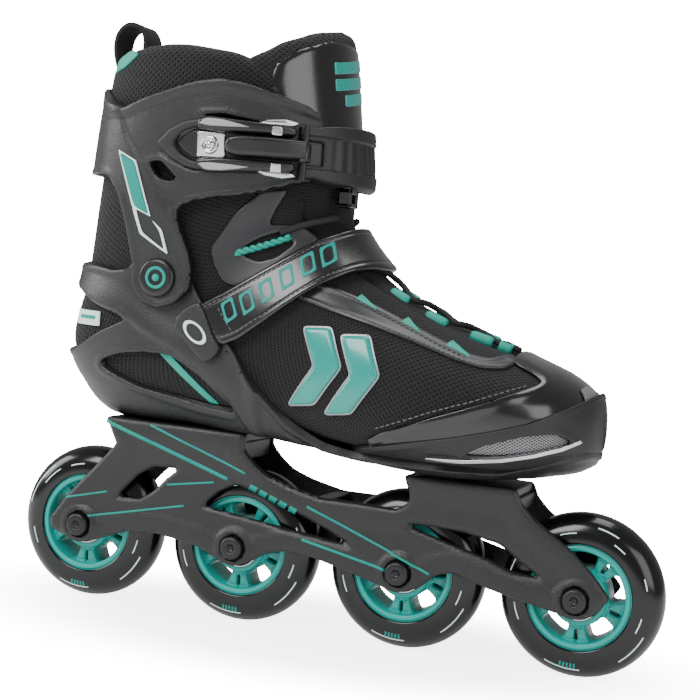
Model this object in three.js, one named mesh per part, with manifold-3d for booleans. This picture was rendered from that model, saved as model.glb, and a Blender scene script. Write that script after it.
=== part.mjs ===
// An inline skate for the right foot: a soft boot in a moulded shell with a hinged cuff,
// on a frame with four wheels. Millimetres, +X to the toe, +Z up, -Y to the outer side.
import * as THREE from 'three';
import { mergeVertices } from 'three/addons/utils/BufferGeometryUtils.js';
import Module from 'manifold-3d';

const wasm = await Module();
wasm.setup();

// ---------------------------------------------------------------- driving dimensions
const gap = 0.3;                 // between pieces that rest on or pass through each other

const wheelDiameter = 80;
const wheelWidth = 24;
const wheelSpacing = 88;
const wheelCount = 4;
const hubRimRadius = 25.7;
const hubRimThickness = 4;
const bearingOuterRadius = 11;
const bearingWidth = 7;
const axleRadius = 4;
const spacerWall = 1;
const axleHeadOverhang = 1.8;    // how far the head and nut reach past the axle
const axleHeadHeight = 3;
const hexSocketRadius = 2.3;

const frameWall = 3.5;
const frameDeck = 5;
const frameBoltRadius = 3;
const wheelToFrontDeck = 9;      // from the top of a wheel up to the boot's forefoot
const heelRise = 10;             // how much higher the heel sits than the forefoot

const bootLength = 281;
const bootHeight = 207;
const bootWidth = 99;
const linerThickness = 8;
const shellThickness = 3;
const cuffThickness = 3.4;
const strapThickness = 2;
const capThickness = 1.8;
const soleDrop = 4;              // extra depth of the shell under the foot
const insoleHeight = 117;        // top of the footbed at the heel, on the pattern
const pivotRadius = 4.5;
const pivotHeadRadius = 8.2;

// ---------------------------------------------------------------- values that follow
const wheelRadius = wheelDiameter / 2;
const boreRadius = axleRadius + gap;            // of the bearings, the spacer and the frame
const spacerRadius = boreRadius + spacerWall;
const axleHeadRadius = axleRadius + axleHeadOverhang;
const frameBossRadius = boreRadius + 1.7;       // beside the bearings
const frontDeckTop = wheelDiameter + wheelToFrontDeck - gap;
const rearDeckTop = frontDeckTop + heelRise;
const shellInner = gap;
const shellOuter = shellInner + shellThickness;
const cuffInner = shellOuter + gap;
const cuffOuter = cuffInner + cuffThickness;
const strapOuter = cuffInner + strapThickness;
const bandInner = cuffOuter + gap;
const bandOuter = bandInner + 3;
const bearingInnerFace = wheelWidth / 2 + 0.15 - bearingWidth;
const bearingOuterFace = bearingInnerFace + bearingWidth;
const wallInner = wheelWidth / 2 + 4.6;
const wallOuter = wallInner + frameWall;

// The boot and the frame are drawn as patterns for one size and graded to the sizes above.
const pattern = {
  length: 281, height: 207, width: 99, middle: 122, sole: 99, spacing: 88, deck: 98.7, axle: 40,
};
const wheelBase = wheelSpacing * (wheelCount - 1);
const bootMiddle = wheelBase / 2 + pattern.middle - pattern.spacing * 1.5;
const bootX = (x) => bootMiddle + (x - pattern.middle) * bootLength / pattern.length;
const bootZ = (z) => rearDeckTop + gap + (z - pattern.sole) * bootHeight / pattern.height;
const bootY = (y) => y * bootWidth / pattern.width;
const frameX = (x) => x * wheelSpacing / pattern.spacing;
const frameZ = (z) => wheelRadius
  + (z - pattern.axle) * (rearDeckTop - wheelRadius) / (pattern.deck - pattern.axle);
const onBoot = (points) => points.map(([x, z]) => [bootX(x), bootZ(z)]);
const onFrame = (points) => points.map(([x, z]) => [frameX(x), frameZ(z)]);

// ---------------------------------------------------------------- solids
function solid(geometry) {
  const bare = geometry.clone();
  bare.deleteAttribute('normal');
  bare.deleteAttribute('uv');
  const merged = mergeVertices(bare, 1e-4);
  return new wasm.Manifold(new wasm.Mesh({
    numProp: 3,
    vertProperties: Float32Array.from(merged.attributes.position.array),
    triVerts: Uint32Array.from(merged.index.array),
  }));
}

function geometryOf(manifold) {
  const mesh = manifold.getMesh();
  const geometry = new THREE.BufferGeometry();
  geometry.setAttribute('position', new THREE.BufferAttribute(Float32Array.from(mesh.vertProperties), 3));
  geometry.setIndex(new THREE.BufferAttribute(Uint32Array.from(mesh.triVerts), 1));
  geometry.computeVertexNormals();
  return geometry;
}

// A box from its lowest and highest corners.
function box(x0, x1, y0, y1, z0, z1) {
  const geometry = new THREE.BoxGeometry(x1 - x0, y1 - y0, z1 - z0);
  geometry.translate((x0 + x1) / 2, (y0 + y1) / 2, (z0 + z1) / 2);
  return solid(geometry);
}

// A round bar along Y.
function barY(radius, x, z, y0, y1, sides = 12) {
  const geometry = new THREE.CylinderGeometry(radius, radius, y1 - y0, sides);
  geometry.translate(x, (y0 + y1) / 2, z);
  return solid(geometry);
}

// A round bar along Z.
function barZ(radius, x, y, z0, z1, sides = 12) {
  const geometry = new THREE.CylinderGeometry(radius, radius, z1 - z0, sides);
  geometry.rotateX(Math.PI / 2);
  geometry.translate(x, y, (z0 + z1) / 2);
  return solid(geometry);
}

// A ring turned about Y from a closed [radius, y] profile, at x, z.
function ring(profile, x, z, sides) {
  const points = profile.map(([r, y]) => new THREE.Vector2(r, y));
  const area = THREE.ShapeUtils.area(points);
  if (area < 0) points.reverse();
  points.push(points[0].clone());
  const geometry = new THREE.LatheGeometry(points, sides);
  geometry.translate(x, 0, z);
  return solid(geometry);
}

const shapeOf = (points) => new THREE.Shape(points.map(([a, b]) => new THREE.Vector2(a, b)));

// A closed curve through a few points, as an outline.
function rounded(points, perSpan = 4) {
  const curve = new THREE.CatmullRomCurve3(
    points.map(([a, b]) => new THREE.Vector3(a, b, 0)), true, 'centripetal');
  return curve.getPoints(points.length * perSpan).slice(0, -1).map((p) => [p.x, p.y]);
}

// A plate drawn in the XZ plane, from y0 to y1.
function plate(points, y0, y1) {
  const geometry = new THREE.ExtrudeGeometry(shapeOf(points), { depth: y1 - y0, bevelEnabled: false });
  geometry.rotateX(Math.PI / 2);
  geometry.translate(0, y1, 0);
  return solid(geometry);
}

// A column drawn in the XY plane, from z0 to z1.
function column(points, z0, z1) {
  const geometry = new THREE.ExtrudeGeometry(shapeOf(points), { depth: z1 - z0, bevelEnabled: false });
  geometry.translate(0, 0, z0);
  return solid(geometry);
}

function circle(radius, x, z, sides) {
  return Array.from({ length: sides }, (_, i) => {
    const angle = i / sides * 2 * Math.PI;
    return [x + radius * Math.cos(angle), z + radius * Math.sin(angle)];
  });
}

// ---------------------------------------------------------------- the boot's body
// Sections from the toe, round the heel and up the leg. Each runs from a point on the sole or
// the heel line to one on the instep or the shin: [x, z] of both, half width, square and side.
const sections = [
  [262, 114, 262, 122, 1, 2.2, 7],
  [259, 107.5, 259.5, 134, 20, 2.5, 7],
  [246, 102.5, 248, 143, 37, 3.0, 5.5],
  [228, 99, 231, 149.5, 44.5, 3.2, 4],
  [203, 97, 207, 157.5, 48.5, 3.2, 2.5],
  [173, 97.5, 180, 167.5, 49.5, 3.2, 1],
  [143, 99.5, 160, 177.5, 47, 3.0, 0],
  [110, 102, 147, 187, 43.5, 2.8, 0],
  [60, 105, 136, 199, 40.5, 2.6, 0],
  [8, 107, 130.5, 209.5, 39, 2.4, 0],
  [-17, 132, 129, 219.5, 38.5, 2.3, 0],
  [-12, 168, 128, 232, 40, 2.3, 0],
  [-8.5, 205, 125.5, 247, 43.5, 2.3, 0],
  [-4.5, 246, 122.5, 266, 47, 2.3, 0],
  [0, 284, 118.5, 290, 47, 2.3, 0],
  [2, 306, 115, 312, 45, 2.3, 0],
];
const instepSquareness = 2.1;

function sectionAt(k) {
  const last = sections.length - 1;
  const i = Math.min(Math.floor(k), last - 1);
  const f = k - i;
  const [a, b, c, d] = [-1, 0, 1, 2].map((n) => sections[Math.min(Math.max(i + n, 0), last)]);
  return b.map((v, n) => 0.5 * (2 * v + (c[n] - a[n]) * f
    + (2 * a[n] - 5 * v + 4 * c[n] - d[n]) * f ** 2 + (3 * v - a[n] - 3 * c[n] + d[n]) * f ** 3));
}

// A point of the body grown outwards by offset. The turn runs from the sole or heel line (0)
// over the outer side to the instep or shin (half a turn) and back over the inner side.
function bodyPoint(k, turn, offset) {
  const [soleX, soleZ, topX, topZ, half, squareness, shift] = sectionAt(k);
  const length = Math.hypot(topX - soleX, topZ - soleZ);
  const [ux, uz] = [(topX - soleX) / length, (topZ - soleZ) / length];
  const [c, s] = [Math.cos(turn), Math.sin(turn)];
  const power = 2 / (c > 0 ? squareness : instepSquareness);
  const along = -Math.sign(c) * Math.abs(c) ** power;
  const across = -Math.sign(s) * Math.abs(s) ** power;
  const toeward = Math.max(0, 1 - k / 2) * offset;
  return [
    bootX((soleX + topX) / 2 + ux * length / 2 * along) + ux * offset * along + toeward,
    bootY(half * across + shift) + offset * across,
    bootZ((soleZ + topZ) / 2 + uz * length / 2 * along) + uz * offset * along,
  ];
}

function body(offset, around = 24) {
  const rows = sections.length - 1;
  const position = [];
  for (let row = 0; row <= rows; row += 1) {
    for (let i = 0; i < around; i += 1) {
      position.push(...bodyPoint(row, i / around * 2 * Math.PI, offset));
    }
  }
  const middleOf = (k) => {
    const [low, high] = [bodyPoint(k, 0, offset), bodyPoint(k, Math.PI, offset)];
    return low.map((v, n) => (v + high[n]) / 2);
  };
  const toe = position.length / 3;
  position.push(...middleOf(0), ...middleOf(sections.length - 1));
  const index = [];
  for (let i = 0; i < around; i += 1) {
    const next = (i + 1) % around;
    index.push(toe, next, i);
    index.push(toe + 1, rows * around + i, rows * around + next);
    for (let row = 0; row < rows; row += 1) {
      const [a, b] = [row * around, (row + 1) * around];
      index.push(a + i, a + next, b + next, a + i, b + next, b + i);
    }
  }
  const geometry = new THREE.BufferGeometry();
  geometry.setAttribute('position', new THREE.Float32BufferAttribute(position, 3));
  geometry.setIndex(index);
  return solid(geometry);
}

const bodies = new Map();
function grown(offset) {
  if (!bodies.has(offset)) bodies.set(offset, body(offset));
  return bodies.get(offset);
}
const wide = bootWidth;
const layer = (inner, outer, outline, y0 = -wide, y1 = wide) => grown(outer)
  .intersect(plate(outline, y0, y1)).subtract(grown(inner));

// ---------------------------------------------------------------- materials
const looks = {
  tyre: [0x1c1c1e, 0.25, 0],
  hub: [0x1fa894, 0.35, 0],
  steel: [0xb8babd, 0.3, 1],
  blackSteel: [0x26272a, 0.45, 0.7],
  chrome: [0xd8d8da, 0.15, 1],
  plastic: [0x3a3b3e, 0.55, 0],
  mesh: [0x2c2d2f, 0.9, 0],
  leather: [0x222325, 0.4, 0],
  cord: [0x161617, 0.8, 0],
  foam: [0x3a3a3c, 0.95, 0],
};

const skate = new THREE.Group();
const boot = new THREE.Group();
const cuffGroup = new THREE.Group();
skate.add(boot, cuffGroup);

function node(parent, name, look, manifold) {
  const [color, roughness, metalness] = looks[look];
  const material = new THREE.MeshStandardMaterial({ color, roughness, metalness });
  const mesh = new THREE.Mesh(geometryOf(manifold), material);
  mesh.name = name;
  parent.add(mesh);
  return mesh;
}

// ---------------------------------------------------------------- wheels
const tyreInner = hubRimRadius + gap;
const tyreSide = wheelWidth / 2 - gap;
const bearingSeat = bearingOuterRadius + gap;
const hubHalf = wheelWidth / 2 - 0.6;
const webHalf = 6;
const bossRadius = bearingSeat + 3;
const roundSides = 24;

function tyre() {
  const tread = wheelRadius - tyreInner - 3;
  const profile = [[tyreInner, -tyreSide], [tyreInner, tyreSide]];
  for (let i = 0; i <= 6; i += 1) {
    const angle = Math.PI / 2 - i / 6 * Math.PI;
    profile.push([tyreInner + 3 + tread * Math.cos(angle), wheelWidth / 2 * Math.sin(angle)]);
  }
  return ring(profile, 0, 0, roundSides);
}

// A rounded opening of the web, between two radii and within a half angle.
function webOpening(inner, outer, half, middle) {
  const corners = [[inner, -half * 0.75], [inner, half * 0.75], [outer - 2, half], [outer, half * 0.8],
    [outer, -half * 0.8], [outer - 2, -half]];
  return corners.map(([r, a]) => [r * Math.cos(middle + a), r * Math.sin(middle + a)]);
}

function hub() {
  const rimInner = hubRimRadius - hubRimThickness;
  const rim = ring([[rimInner, -hubHalf], [hubRimRadius, -hubHalf], [hubRimRadius, hubHalf],
    [rimInner, hubHalf]], 0, 0, roundSides);
  const boss = ring([[spacerRadius + 1, -bearingInnerFace + gap], [bearingSeat, -bearingInnerFace + gap],
    [bearingSeat, -hubHalf - 0.3], [bossRadius, -hubHalf - 0.3], [bossRadius, hubHalf + 0.3],
    [bearingSeat, hubHalf + 0.3], [bearingSeat, bearingInnerFace - gap],
    [spacerRadius + 1, bearingInnerFace - gap]], 0, 0, 16);
  const web = shapeOf(circle(rimInner + 1, 0, 0, roundSides));
  web.holes.push(shapeOf(circle(bearingSeat + 1.5, 0, 0, 16)));
  for (let i = 0; i < 5; i += 1) {
    const middle = (i + 0.25) / 5 * 2 * Math.PI;
    web.holes.push(shapeOf(webOpening(bossRadius + 0.8, rimInner - 0.4, 0.42, middle)));
    web.holes.push(shapeOf(webOpening(bossRadius + 2, rimInner - 1, 0.06, middle + Math.PI / 5)));
  }
  const disc = new THREE.ExtrudeGeometry(web, { depth: webHalf * 2, bevelEnabled: false });
  disc.rotateX(Math.PI / 2);
  disc.translate(0, webHalf, 0);
  return rim.add(boss).add(solid(disc));
}

function bearing(side) {
  const faces = [bearingInnerFace, bearingOuterFace].map((y) => side * y);
  return ring([[boreRadius, faces[0]], [bearingOuterRadius, faces[0]],
    [bearingOuterRadius, faces[1]], [boreRadius, faces[1]]], 0, 0, 16);
}

function spacer() {
  const half = bearingInnerFace - gap;
  return ring([[boreRadius, -half], [spacerRadius, -half], [spacerRadius, half],
    [boreRadius, half]], 0, 0, 12);
}

const headFace = wallOuter + gap;
const nutFace = headFace + 3.4;
function axleBolt() {
  const head = barY(axleHeadRadius, 0, 0, -headFace - axleHeadHeight, -headFace, 18);
  const shank = barY(axleRadius, 0, 0, -headFace - 0.5, nutFace - 0.4);
  return head.add(shank).subtract(barY(hexSocketRadius, 0, 0, -headFace - 4, -headFace - 1, 6));
}

function axleNut() {
  return barY(axleHeadRadius, 0, 0, headFace, nutFace, 6)
    .subtract(barY(boreRadius, 0, 0, headFace - 1, nutFace + 1));
}

const axleX = Array.from({ length: wheelCount }, (_, i) => i * wheelSpacing);
axleX.forEach((x, i) => {
  const wheel = new THREE.Group();
  wheel.position.set(x, 0, wheelRadius);
  skate.add(wheel);
  const name = `wheel_${i + 1}`;
  node(wheel, `${name}_tyre`, 'tyre', tyre());
  node(wheel, `${name}_hub`, 'hub', hub());
  node(wheel, `${name}_bearing_outer_side`, 'steel', bearing(-1));
  node(wheel, `${name}_bearing_inner_side`, 'steel', bearing(1));
  node(wheel, `${name}_spacer`, 'steel', spacer());
  node(wheel, `${name}_axle_bolt`, 'blackSteel', axleBolt());
  node(wheel, `${name}_axle_nut`, 'blackSteel', axleNut());
});

// ---------------------------------------------------------------- frame
const wallOutline = onFrame([
  [11, 98.7], [18, 85], [4, 69], [-10, 53], [-18, 41], [-12, 34], [0, 30.4], [10, 33], [27, 39.7],
  [45, 41], [67, 38], [79, 33], [88, 30.6], [96, 33], [105, 39], [115, 42], [131, 41], [149, 37],
  [168, 32], [176, 30.4], [187, 34], [195, 41.6], [203, 44], [221, 39], [241, 35], [264, 30.9],
  [274, 34], [280, 43], [259, 63.5], [240, 76], [234, 82], [231, 88.7], [174.6, 88.7], [178, 80],
  [178, 75], [172, 71], [152, 71.6], [132, 71.4], [115, 75], [96, 82], [90, 90], [90, 98.7]]);
const wallWindows = [
  [[20, 57], [24, 62], [31, 70], [39, 75], [54, 76], [47, 70], [42, 64], [34, 58]],
  [[69, 59], [77, 67], [86, 72], [99, 69], [117, 63], [136, 56], [150, 50], [112, 54]],
  [[177, 64], [190, 65], [208, 64], [225, 61], [242, 50], [247, 48], [232, 49], [221, 53]],
].map(onFrame);
const rearBoltX = frameX(48);
const frontBoltX = frameX(203);

function frameWallAt(y0, y1) {
  const windows = wallWindows.map((points) => plate(points, y0 - 1, y1 + 1));
  return windows.reduce((wall, cut) => wall.subtract(cut), plate(wallOutline, y0, y1));
}

function frame() {
  const inside = wallInner + 1;
  const across = (x0, x1, z0, z1) => box(frameX(x0), frameX(x1), -inside, inside, z0, z1);
  let whole = frameWallAt(-wallOuter, -wallInner).add(frameWallAt(wallInner, wallOuter));
  whole = whole.add(across(12, 89, rearDeckTop - frameDeck, rearDeckTop));
  whole = whole.add(across(176, 230, frontDeckTop - frameDeck, frontDeckTop));
  whole = whole.add(across(128, 136, frameZ(63), frameZ(71)));
  whole = whole.add(across(226, 233, frameZ(77), frontDeckTop - 1));
  axleX.forEach((x) => {
    const bossFace = bearingOuterFace + gap;
    whole = whole.add(barY(frameBossRadius, x, wheelRadius, -inside, -bossFace));
    whole = whole.add(barY(frameBossRadius, x, wheelRadius, bossFace, inside));
  });
  axleX.forEach((x) => {
    whole = whole.subtract(barY(boreRadius, x, wheelRadius, -wallOuter - 5, wallOuter + 5));
  });
  const hole = frameBoltRadius + gap;
  whole = whole.subtract(barZ(hole, rearBoltX, 0, rearDeckTop - 20, rearDeckTop + 5));
  return whole.subtract(barZ(hole, frontBoltX, 0, frontDeckTop - 20, frontDeckTop + 5));
}
node(skate, 'frame', 'plastic', frame());

const boltBite = 4.6;            // how far a frame bolt reaches into the shell's floor
function frameBolt(x, deckTop) {
  const under = deckTop - frameDeck - gap;
  const head = barZ(frameBoltRadius * 1.9, x, 0, under - 3, under, 16);
  const shank = barZ(frameBoltRadius, x, 0, under - 1, deckTop + gap + boltBite);
  return head.add(shank).subtract(barZ(hexSocketRadius, x, 0, under - 4, under - 1.2, 6));
}
node(skate, 'frame_bolt_rear', 'blackSteel', frameBolt(rearBoltX, rearDeckTop));
node(skate, 'frame_bolt_front', 'blackSteel', frameBolt(frontBoltX, frontDeckTop));

// ---------------------------------------------------------------- shell
const pivotX = bootX(46);
const pivotZ = bootZ(173.2);
const shellOutline = onBoot([
  [-40, 178], [-19, 178], [-5, 176], [14, 174], [26, 178], [36, 187], [46, 190], [56, 187], [63, 179],
  [66, 166], [72, 156], [84, 148], [88, 134], [100, 121], [120, 110], [150, 102], [180, 99], [215, 100],
  [245, 104], [262, 111], [290, 118], [290, 80], [-40, 80]]);
const shellWindow = onBoot([[15, 126], [22, 131], [36, 134], [49, 135], [61, 131], [78, 123], [90, 114],
  [62, 113.5], [39, 118], [23, 123]]);
const soleOutline = [
  [bootX(-40), bootZ(116)], [bootX(-40), bootZ(108)], [bootX(-8), bootZ(103)],
  [bootX(4), rearDeckTop + gap], [bootX(100), rearDeckTop + gap], [bootX(126), bootZ(97)],
  [bootX(158), frontDeckTop + gap], [bootX(234), frontDeckTop + gap], [bootX(259), bootZ(101)],
  [bootX(285), bootZ(109)], [bootX(285), bootZ(116)],
  ...onBoot([[262, 110.5], [245, 103.5], [215, 99.5], [180, 98.5], [150, 101.5], [120, 109], [100, 116]])];

function shell() {
  const sole = grown(shellOuter).translate([0, 0, -soleDrop]).intersect(plate(soleOutline, -wide, wide));
  const upperShell = grown(shellOuter).intersect(plate(shellOutline, -wide, wide));
  const pivotHole = barY(pivotRadius + gap, pivotX, pivotZ, -wide, wide, 18);
  const heelCut = box(bootX(-60), bootX(-4), -bootY(15), bootY(15), bootZ(139), bootZ(157));
  const hole = frameBoltRadius + gap;
  return upperShell.add(sole)
    .subtract(grown(shellInner))
    .subtract(plate(shellWindow, -wide, wide))
    .subtract(heelCut)
    .subtract(pivotHole)
    .subtract(barZ(hole, rearBoltX, 0, rearDeckTop - 5, rearDeckTop + gap * 2 + boltBite))
    .subtract(barZ(hole, frontBoltX, 0, frontDeckTop - 5, frontDeckTop + gap * 2 + boltBite));
}
node(boot, 'shell', 'plastic', shell());

// ---------------------------------------------------------------- soft boot
// The soft boot is split across the ankle, where the real one folds as the cuff leans.
const lowerEdge = [[-60, 192], [46, 189], [100, 196], [120, 205], [170, 215]];
const upperEdge = [[-60, 201], [20, 200], [46, 199], [75, 209], [120, 221], [170, 226]];
const throat = [[100, -17], [150, -16], [200, -12], [232, -6], [240, 0], [234, 7], [200, 15], [150, 17],
  [100, 18]].map(([x, y]) => [bootX(x), bootY(y)]);
const throatInset = throat.map(([x, y]) => [x < bootX(101) ? x : x - gap, y - Math.sign(y) * gap]);
const lowerRegion = onBoot([...lowerEdge, [320, 215], [320, 60], [-60, 60]]);
const insideBoot = -linerThickness;

function vamp() {
  return grown(0).intersect(plate(lowerRegion, -wide, wide))
    .subtract(grown(insideBoot))
    .subtract(column(throat, bootZ(128), bootZ(300)));
}
node(boot, 'vamp', 'mesh', vamp());

function lowerTongue() {
  return grown(-1).subtract(grown(insideBoot + 2))
    .intersect(plate(lowerRegion, -wide, wide))
    .intersect(column(throatInset, bootZ(128.5), bootZ(300)));
}
node(boot, 'tongue_lower', 'leather', lowerTongue());

const insoleOutline = onBoot([[-30, 90], [-30, insoleHeight], [95, insoleHeight], [150, 111.5],
  [200, 109.5], [235, 111], [275, 116], [275, 90]]);
node(boot, 'insole', 'foam', grown(insideBoot - gap).intersect(plate(insoleOutline, -wide, wide)));

const capOutline = onBoot([[172, 111], [192, 118], [211, 126], [225, 132], [236, 141], [243, 160],
  [290, 160], [290, 121], [262, 120], [235, 112], [205, 106], [176, 104]]);
node(boot, 'toe_cap', 'leather', layer(gap, gap + capThickness, capOutline));

const bumperOutline = onBoot([[176, 103.4], [205, 105.4], [235, 111.4], [262, 119.4], [290, 120.4],
  [290, 119], [262, 112], [245, 105], [215, 101], [180, 100]]);
node(boot, 'toe_bumper', 'plastic', layer(gap, shellOuter, bumperOutline)
  .subtract(grown(shellOuter).translate([0, 0, -soleDrop]).intersect(plate(soleOutline, -wide, wide))));

const eyestayPlan = [[140, -28], [180, -24], [212, -18], [240, -11], [247, 0], [240, 12], [212, 21],
  [180, 26], [140, 29]].map(([x, y]) => [bootX(x), bootY(y)]);
const eyestayInner = [[139, -17.4], [150, -16.4], [200, -12.4], [230, -6.6], [239, 0], [232, 7.6],
  [200, 15.4], [150, 17.4], [139, 18]].map(([x, y]) => [bootX(x), bootY(y)]);
const eyestayFront = bootX(236);
function eyestay() {
  const strip = grown(gap + 1.6).subtract(grown(gap))
    .intersect(column(eyestayPlan, bootZ(132), bootZ(200)))
    .subtract(column(eyestayInner, bootZ(120), bootZ(200)))
    .subtract(plate(onBoot([[100, 150], [100, 230], [186, 230], [178, 168], [164, 150]]), -wide, wide));
  return strip.subtract(box(eyestayFront, bootX(300), -wide, wide, bootZ(90), bootZ(200)));
}
node(boot, 'eyestay_outer_side', 'leather', eyestay().intersect(box(0, bootX(300), -wide, 0, 0, 400)));
node(boot, 'eyestay_inner_side', 'leather', eyestay().intersect(box(0, bootX(300), gap, wide, 0, 400)));

// ---------------------------------------------------------------- laces
const laceRadius = 1.6;
const laceTurns = 5;
const laceStart = 182;
const laceEnd = 228;
const laceHalf = 12;
const laceLift = 2.4;            // over the eyestays
function instepHeight(x) {
  // The ridge line of the instep between the sections that cross it.
  const ridge = sections.map((s) => [s[2], s[3]]).filter(([, z]) => z > 130 && z < 200);
  const i = Math.max(1, ridge.findIndex((p) => p[0] <= x));
  const [a, b] = [ridge[i - 1], ridge[i]];
  return b[1] + (a[1] - b[1]) * (x - b[0]) / (a[0] - b[0]);
}
const lacePoints = [];
for (let i = 0; i <= laceTurns * 2; i += 1) {
  const x = laceStart + (laceEnd - laceStart) * i / (laceTurns * 2);
  const narrow = 1 - 0.4 * i / (laceTurns * 2);
  const side = [0, 1, 0, -1][i % 4] * laceHalf * narrow;
  const drop = Math.abs(side) * 0.16;
  const z = bootZ(instepHeight(x)) + laceRadius + laceLift - drop;
  lacePoints.push(new THREE.Vector3(bootX(x), bootY(side), z));
}
const lacePath = new THREE.CatmullRomCurve3(lacePoints);
const laceShape = shapeOf(circle(laceRadius, 0, 0, 6));
const laceRun = new THREE.ExtrudeGeometry(laceShape, { steps: 40, extrudePath: lacePath });
node(boot, 'lace', 'cord', solid(laceRun));

// ---------------------------------------------------------------- instep strap
const strapOutline = onBoot([[64, 162.5], [81, 174.5], [127, 202], [140, 210], [156, 216], [178, 190],
  [163, 184], [134, 178], [109, 164.7], [83, 144], [70, 150]]);
node(boot, 'instep_strap', 'leather', layer(cuffInner, strapOuter, strapOutline));

const anchorOutline = onBoot([[57, 154], [69, 149], [82.5, 143], [84, 136], [72, 139], [59, 147]]);
node(boot, 'strap_anchor_outer_side', 'plastic', layer(cuffInner, strapOuter, anchorOutline, -wide, 0));
node(boot, 'strap_anchor_inner_side', 'plastic', layer(cuffInner, strapOuter, anchorOutline, 0, wide));

// ---------------------------------------------------------------- cuff
const cuffOutline = onBoot([
  [46, 158.5], [37, 162], [33, 170], [34.5, 180], [29, 192], [24, 208], [17, 223], [-30, 223],
  [-30, 271], [-3, 268], [20, 256], [39, 262], [56, 266.7], [69, 268], [88, 265], [104, 260.7],
  [116, 256], [120, 251], [118, 225.5], [98, 219.7], [77, 215], [62, 213], [54.6, 210.6], [52, 206],
  [54.5, 200], [58, 193], [61, 184], [60.5, 172], [56, 162]]);
const cuffSlit = onBoot([[48, 222], [60, 226], [66, 223], [56, 218]]);
function cuff() {
  return layer(cuffInner, cuffOuter, cuffOutline)
    .subtract(plate(cuffSlit, -wide, wide))
    .subtract(barY(pivotRadius + gap, pivotX, pivotZ, -wide, wide, 18))
    .subtract(barY(rivetRadius + gap, buckleRivetX, buckleZ, -wide, 0, 12))
    .subtract(barY(rivetRadius + gap, bandRivetX, buckleZ, 0, wide, 12));
}

const rivetRadius = 2.5;
const rivetHead = 4.6;
const buckleZ = bootZ(240);
const buckleRivetX = bootX(66);
const bandRivetX = bootX(93);
node(cuffGroup, 'cuff', 'plastic', cuff());

// How far out the body reaches at a side point, found on the sections of the leg.
function sideReach(x, z, offset) {
  let [best, reach] = [Infinity, 0];
  for (let k = 5; k <= sections.length - 1; k += 0.05) {
    for (let turn = 0.3; turn < Math.PI - 0.3; turn += 0.02) {
      const point = bodyPoint(k, turn, offset);
      const distance = Math.hypot(point[0] - x, point[2] - z);
      if (distance < best) [best, reach] = [distance, Math.abs(point[1])];
    }
  }
  return reach;
}

// Pivot rivets: a broad head outside the cuff, a stem through cuff and shell.
function pivotRivet(side) {
  const face = sideReach(pivotX, pivotZ, cuffOuter) + gap + 0.7;
  const stemEnd = sideReach(pivotX, pivotZ, gap) + 0.9;
  const head = side < 0
    ? barY(pivotHeadRadius, pivotX, pivotZ, -face - 2, -face, 20)
    : barY(pivotHeadRadius, pivotX, pivotZ, face, face + 2, 20);
  const stem = side < 0
    ? barY(pivotRadius, pivotX, pivotZ, -face - 0.5, -stemEnd)
    : barY(pivotRadius, pivotX, pivotZ, stemEnd, face + 0.5);
  return head.add(stem);
}
node(boot, 'cuff_pivot_outer_side', 'plastic', pivotRivet(-1));
node(boot, 'cuff_pivot_inner_side', 'plastic', pivotRivet(1));

// ---------------------------------------------------------------- padded collar and tongue
const collarTop = [[-60, 280], [0, 281], [13, 283], [26, 288], [52, 289.5], [76, 286.5], [91, 280],
  [102, 272], [112, 262], [118, 250], [170, 246]];
const collarOutline = onBoot([...upperEdge, ...collarTop.slice().reverse()]);
const tongueHalf = bootY(26);
const tongueSlot = [[92, -tongueHalf], [170, -tongueHalf], [170, tongueHalf], [92, tongueHalf]]
  .map(([x, y]) => [bootX(x), y]);
function collar() {
  return grown(0).intersect(plate(collarOutline, -wide, wide))
    .subtract(grown(insideBoot))
    .subtract(column(tongueSlot, bootZ(180), bootZ(330)));
}
node(cuffGroup, 'collar', 'mesh', collar());

const tongueOutline = onBoot([[94, 228], [118, 225.5], [170, 230], [170, 290], [112, 303], [104, 306],
  [92, 305], [86, 296]]);
const tongueSpan = tongueHalf - gap;
node(cuffGroup, 'tongue_upper', 'leather', layer(insideBoot, 2.5, tongueOutline, -tongueSpan, tongueSpan)
  .intersect(box(bootX(92) + gap, bootX(200), -tongueSpan, tongueSpan, bootZ(200), bootZ(330))));

// A webbing loop standing out of the collar's back edge.
function pullLoop() {
  const [x, z] = [bootX(-1), bootZ(282.2) + gap];
  const outer = rounded([[x - 6, z], [x - 8, z + 12], [x - 3, z + 21], [x + 4, z + 22], [x + 9, z + 14],
    [x + 7, z]], 3);
  const inner = rounded([[x - 4, z + 2.5], [x - 5.6, z + 12], [x - 2, z + 18.6], [x + 3, z + 19.4],
    [x + 6.6, z + 13], [x + 5, z + 2.5]], 3);
  return plate(outer, -10, 10).subtract(plate(inner, -11, 11))
    .intersect(box(x - 30, x + 30, -12, 12, z, z + 40));
}
node(cuffGroup, 'pull_loop', 'cord', pullLoop());

// ---------------------------------------------------------------- cuff buckle
const baseEnds = [bootX(50), bootX(78)];
const baseReach = Math.max(...baseEnds.map((x) => sideReach(x, buckleZ + 10, cuffOuter)));
const baseFace = -baseReach - gap - 1;
const baseThickness = 1.6;
const leverHalf = 4.6;
const railGap = leverHalf + 1;
const railHeight = 5;
const railDepth = 6;
function buckleBase() {
  const [x0, x1] = [baseEnds[0], bootX(104)];
  const [low, high] = [buckleZ - railGap - railHeight, buckleZ + railGap + railHeight];
  const railStart = bootX(54);
  const railFace = baseFace - railDepth;
  const floor = box(x0, baseEnds[1], baseFace - baseThickness, baseFace, low, high);
  const railLow = box(railStart, x1, railFace, baseFace, low, buckleZ - railGap);
  const railHigh = box(railStart, x1, railFace, baseFace, buckleZ + railGap, high);
  return floor.add(railLow).add(railHigh)
    .subtract(barY(rivetRadius + gap, buckleRivetX, buckleZ, -wide, 0, 12));
}
node(cuffGroup, 'buckle_base', 'chrome', buckleBase());

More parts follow.
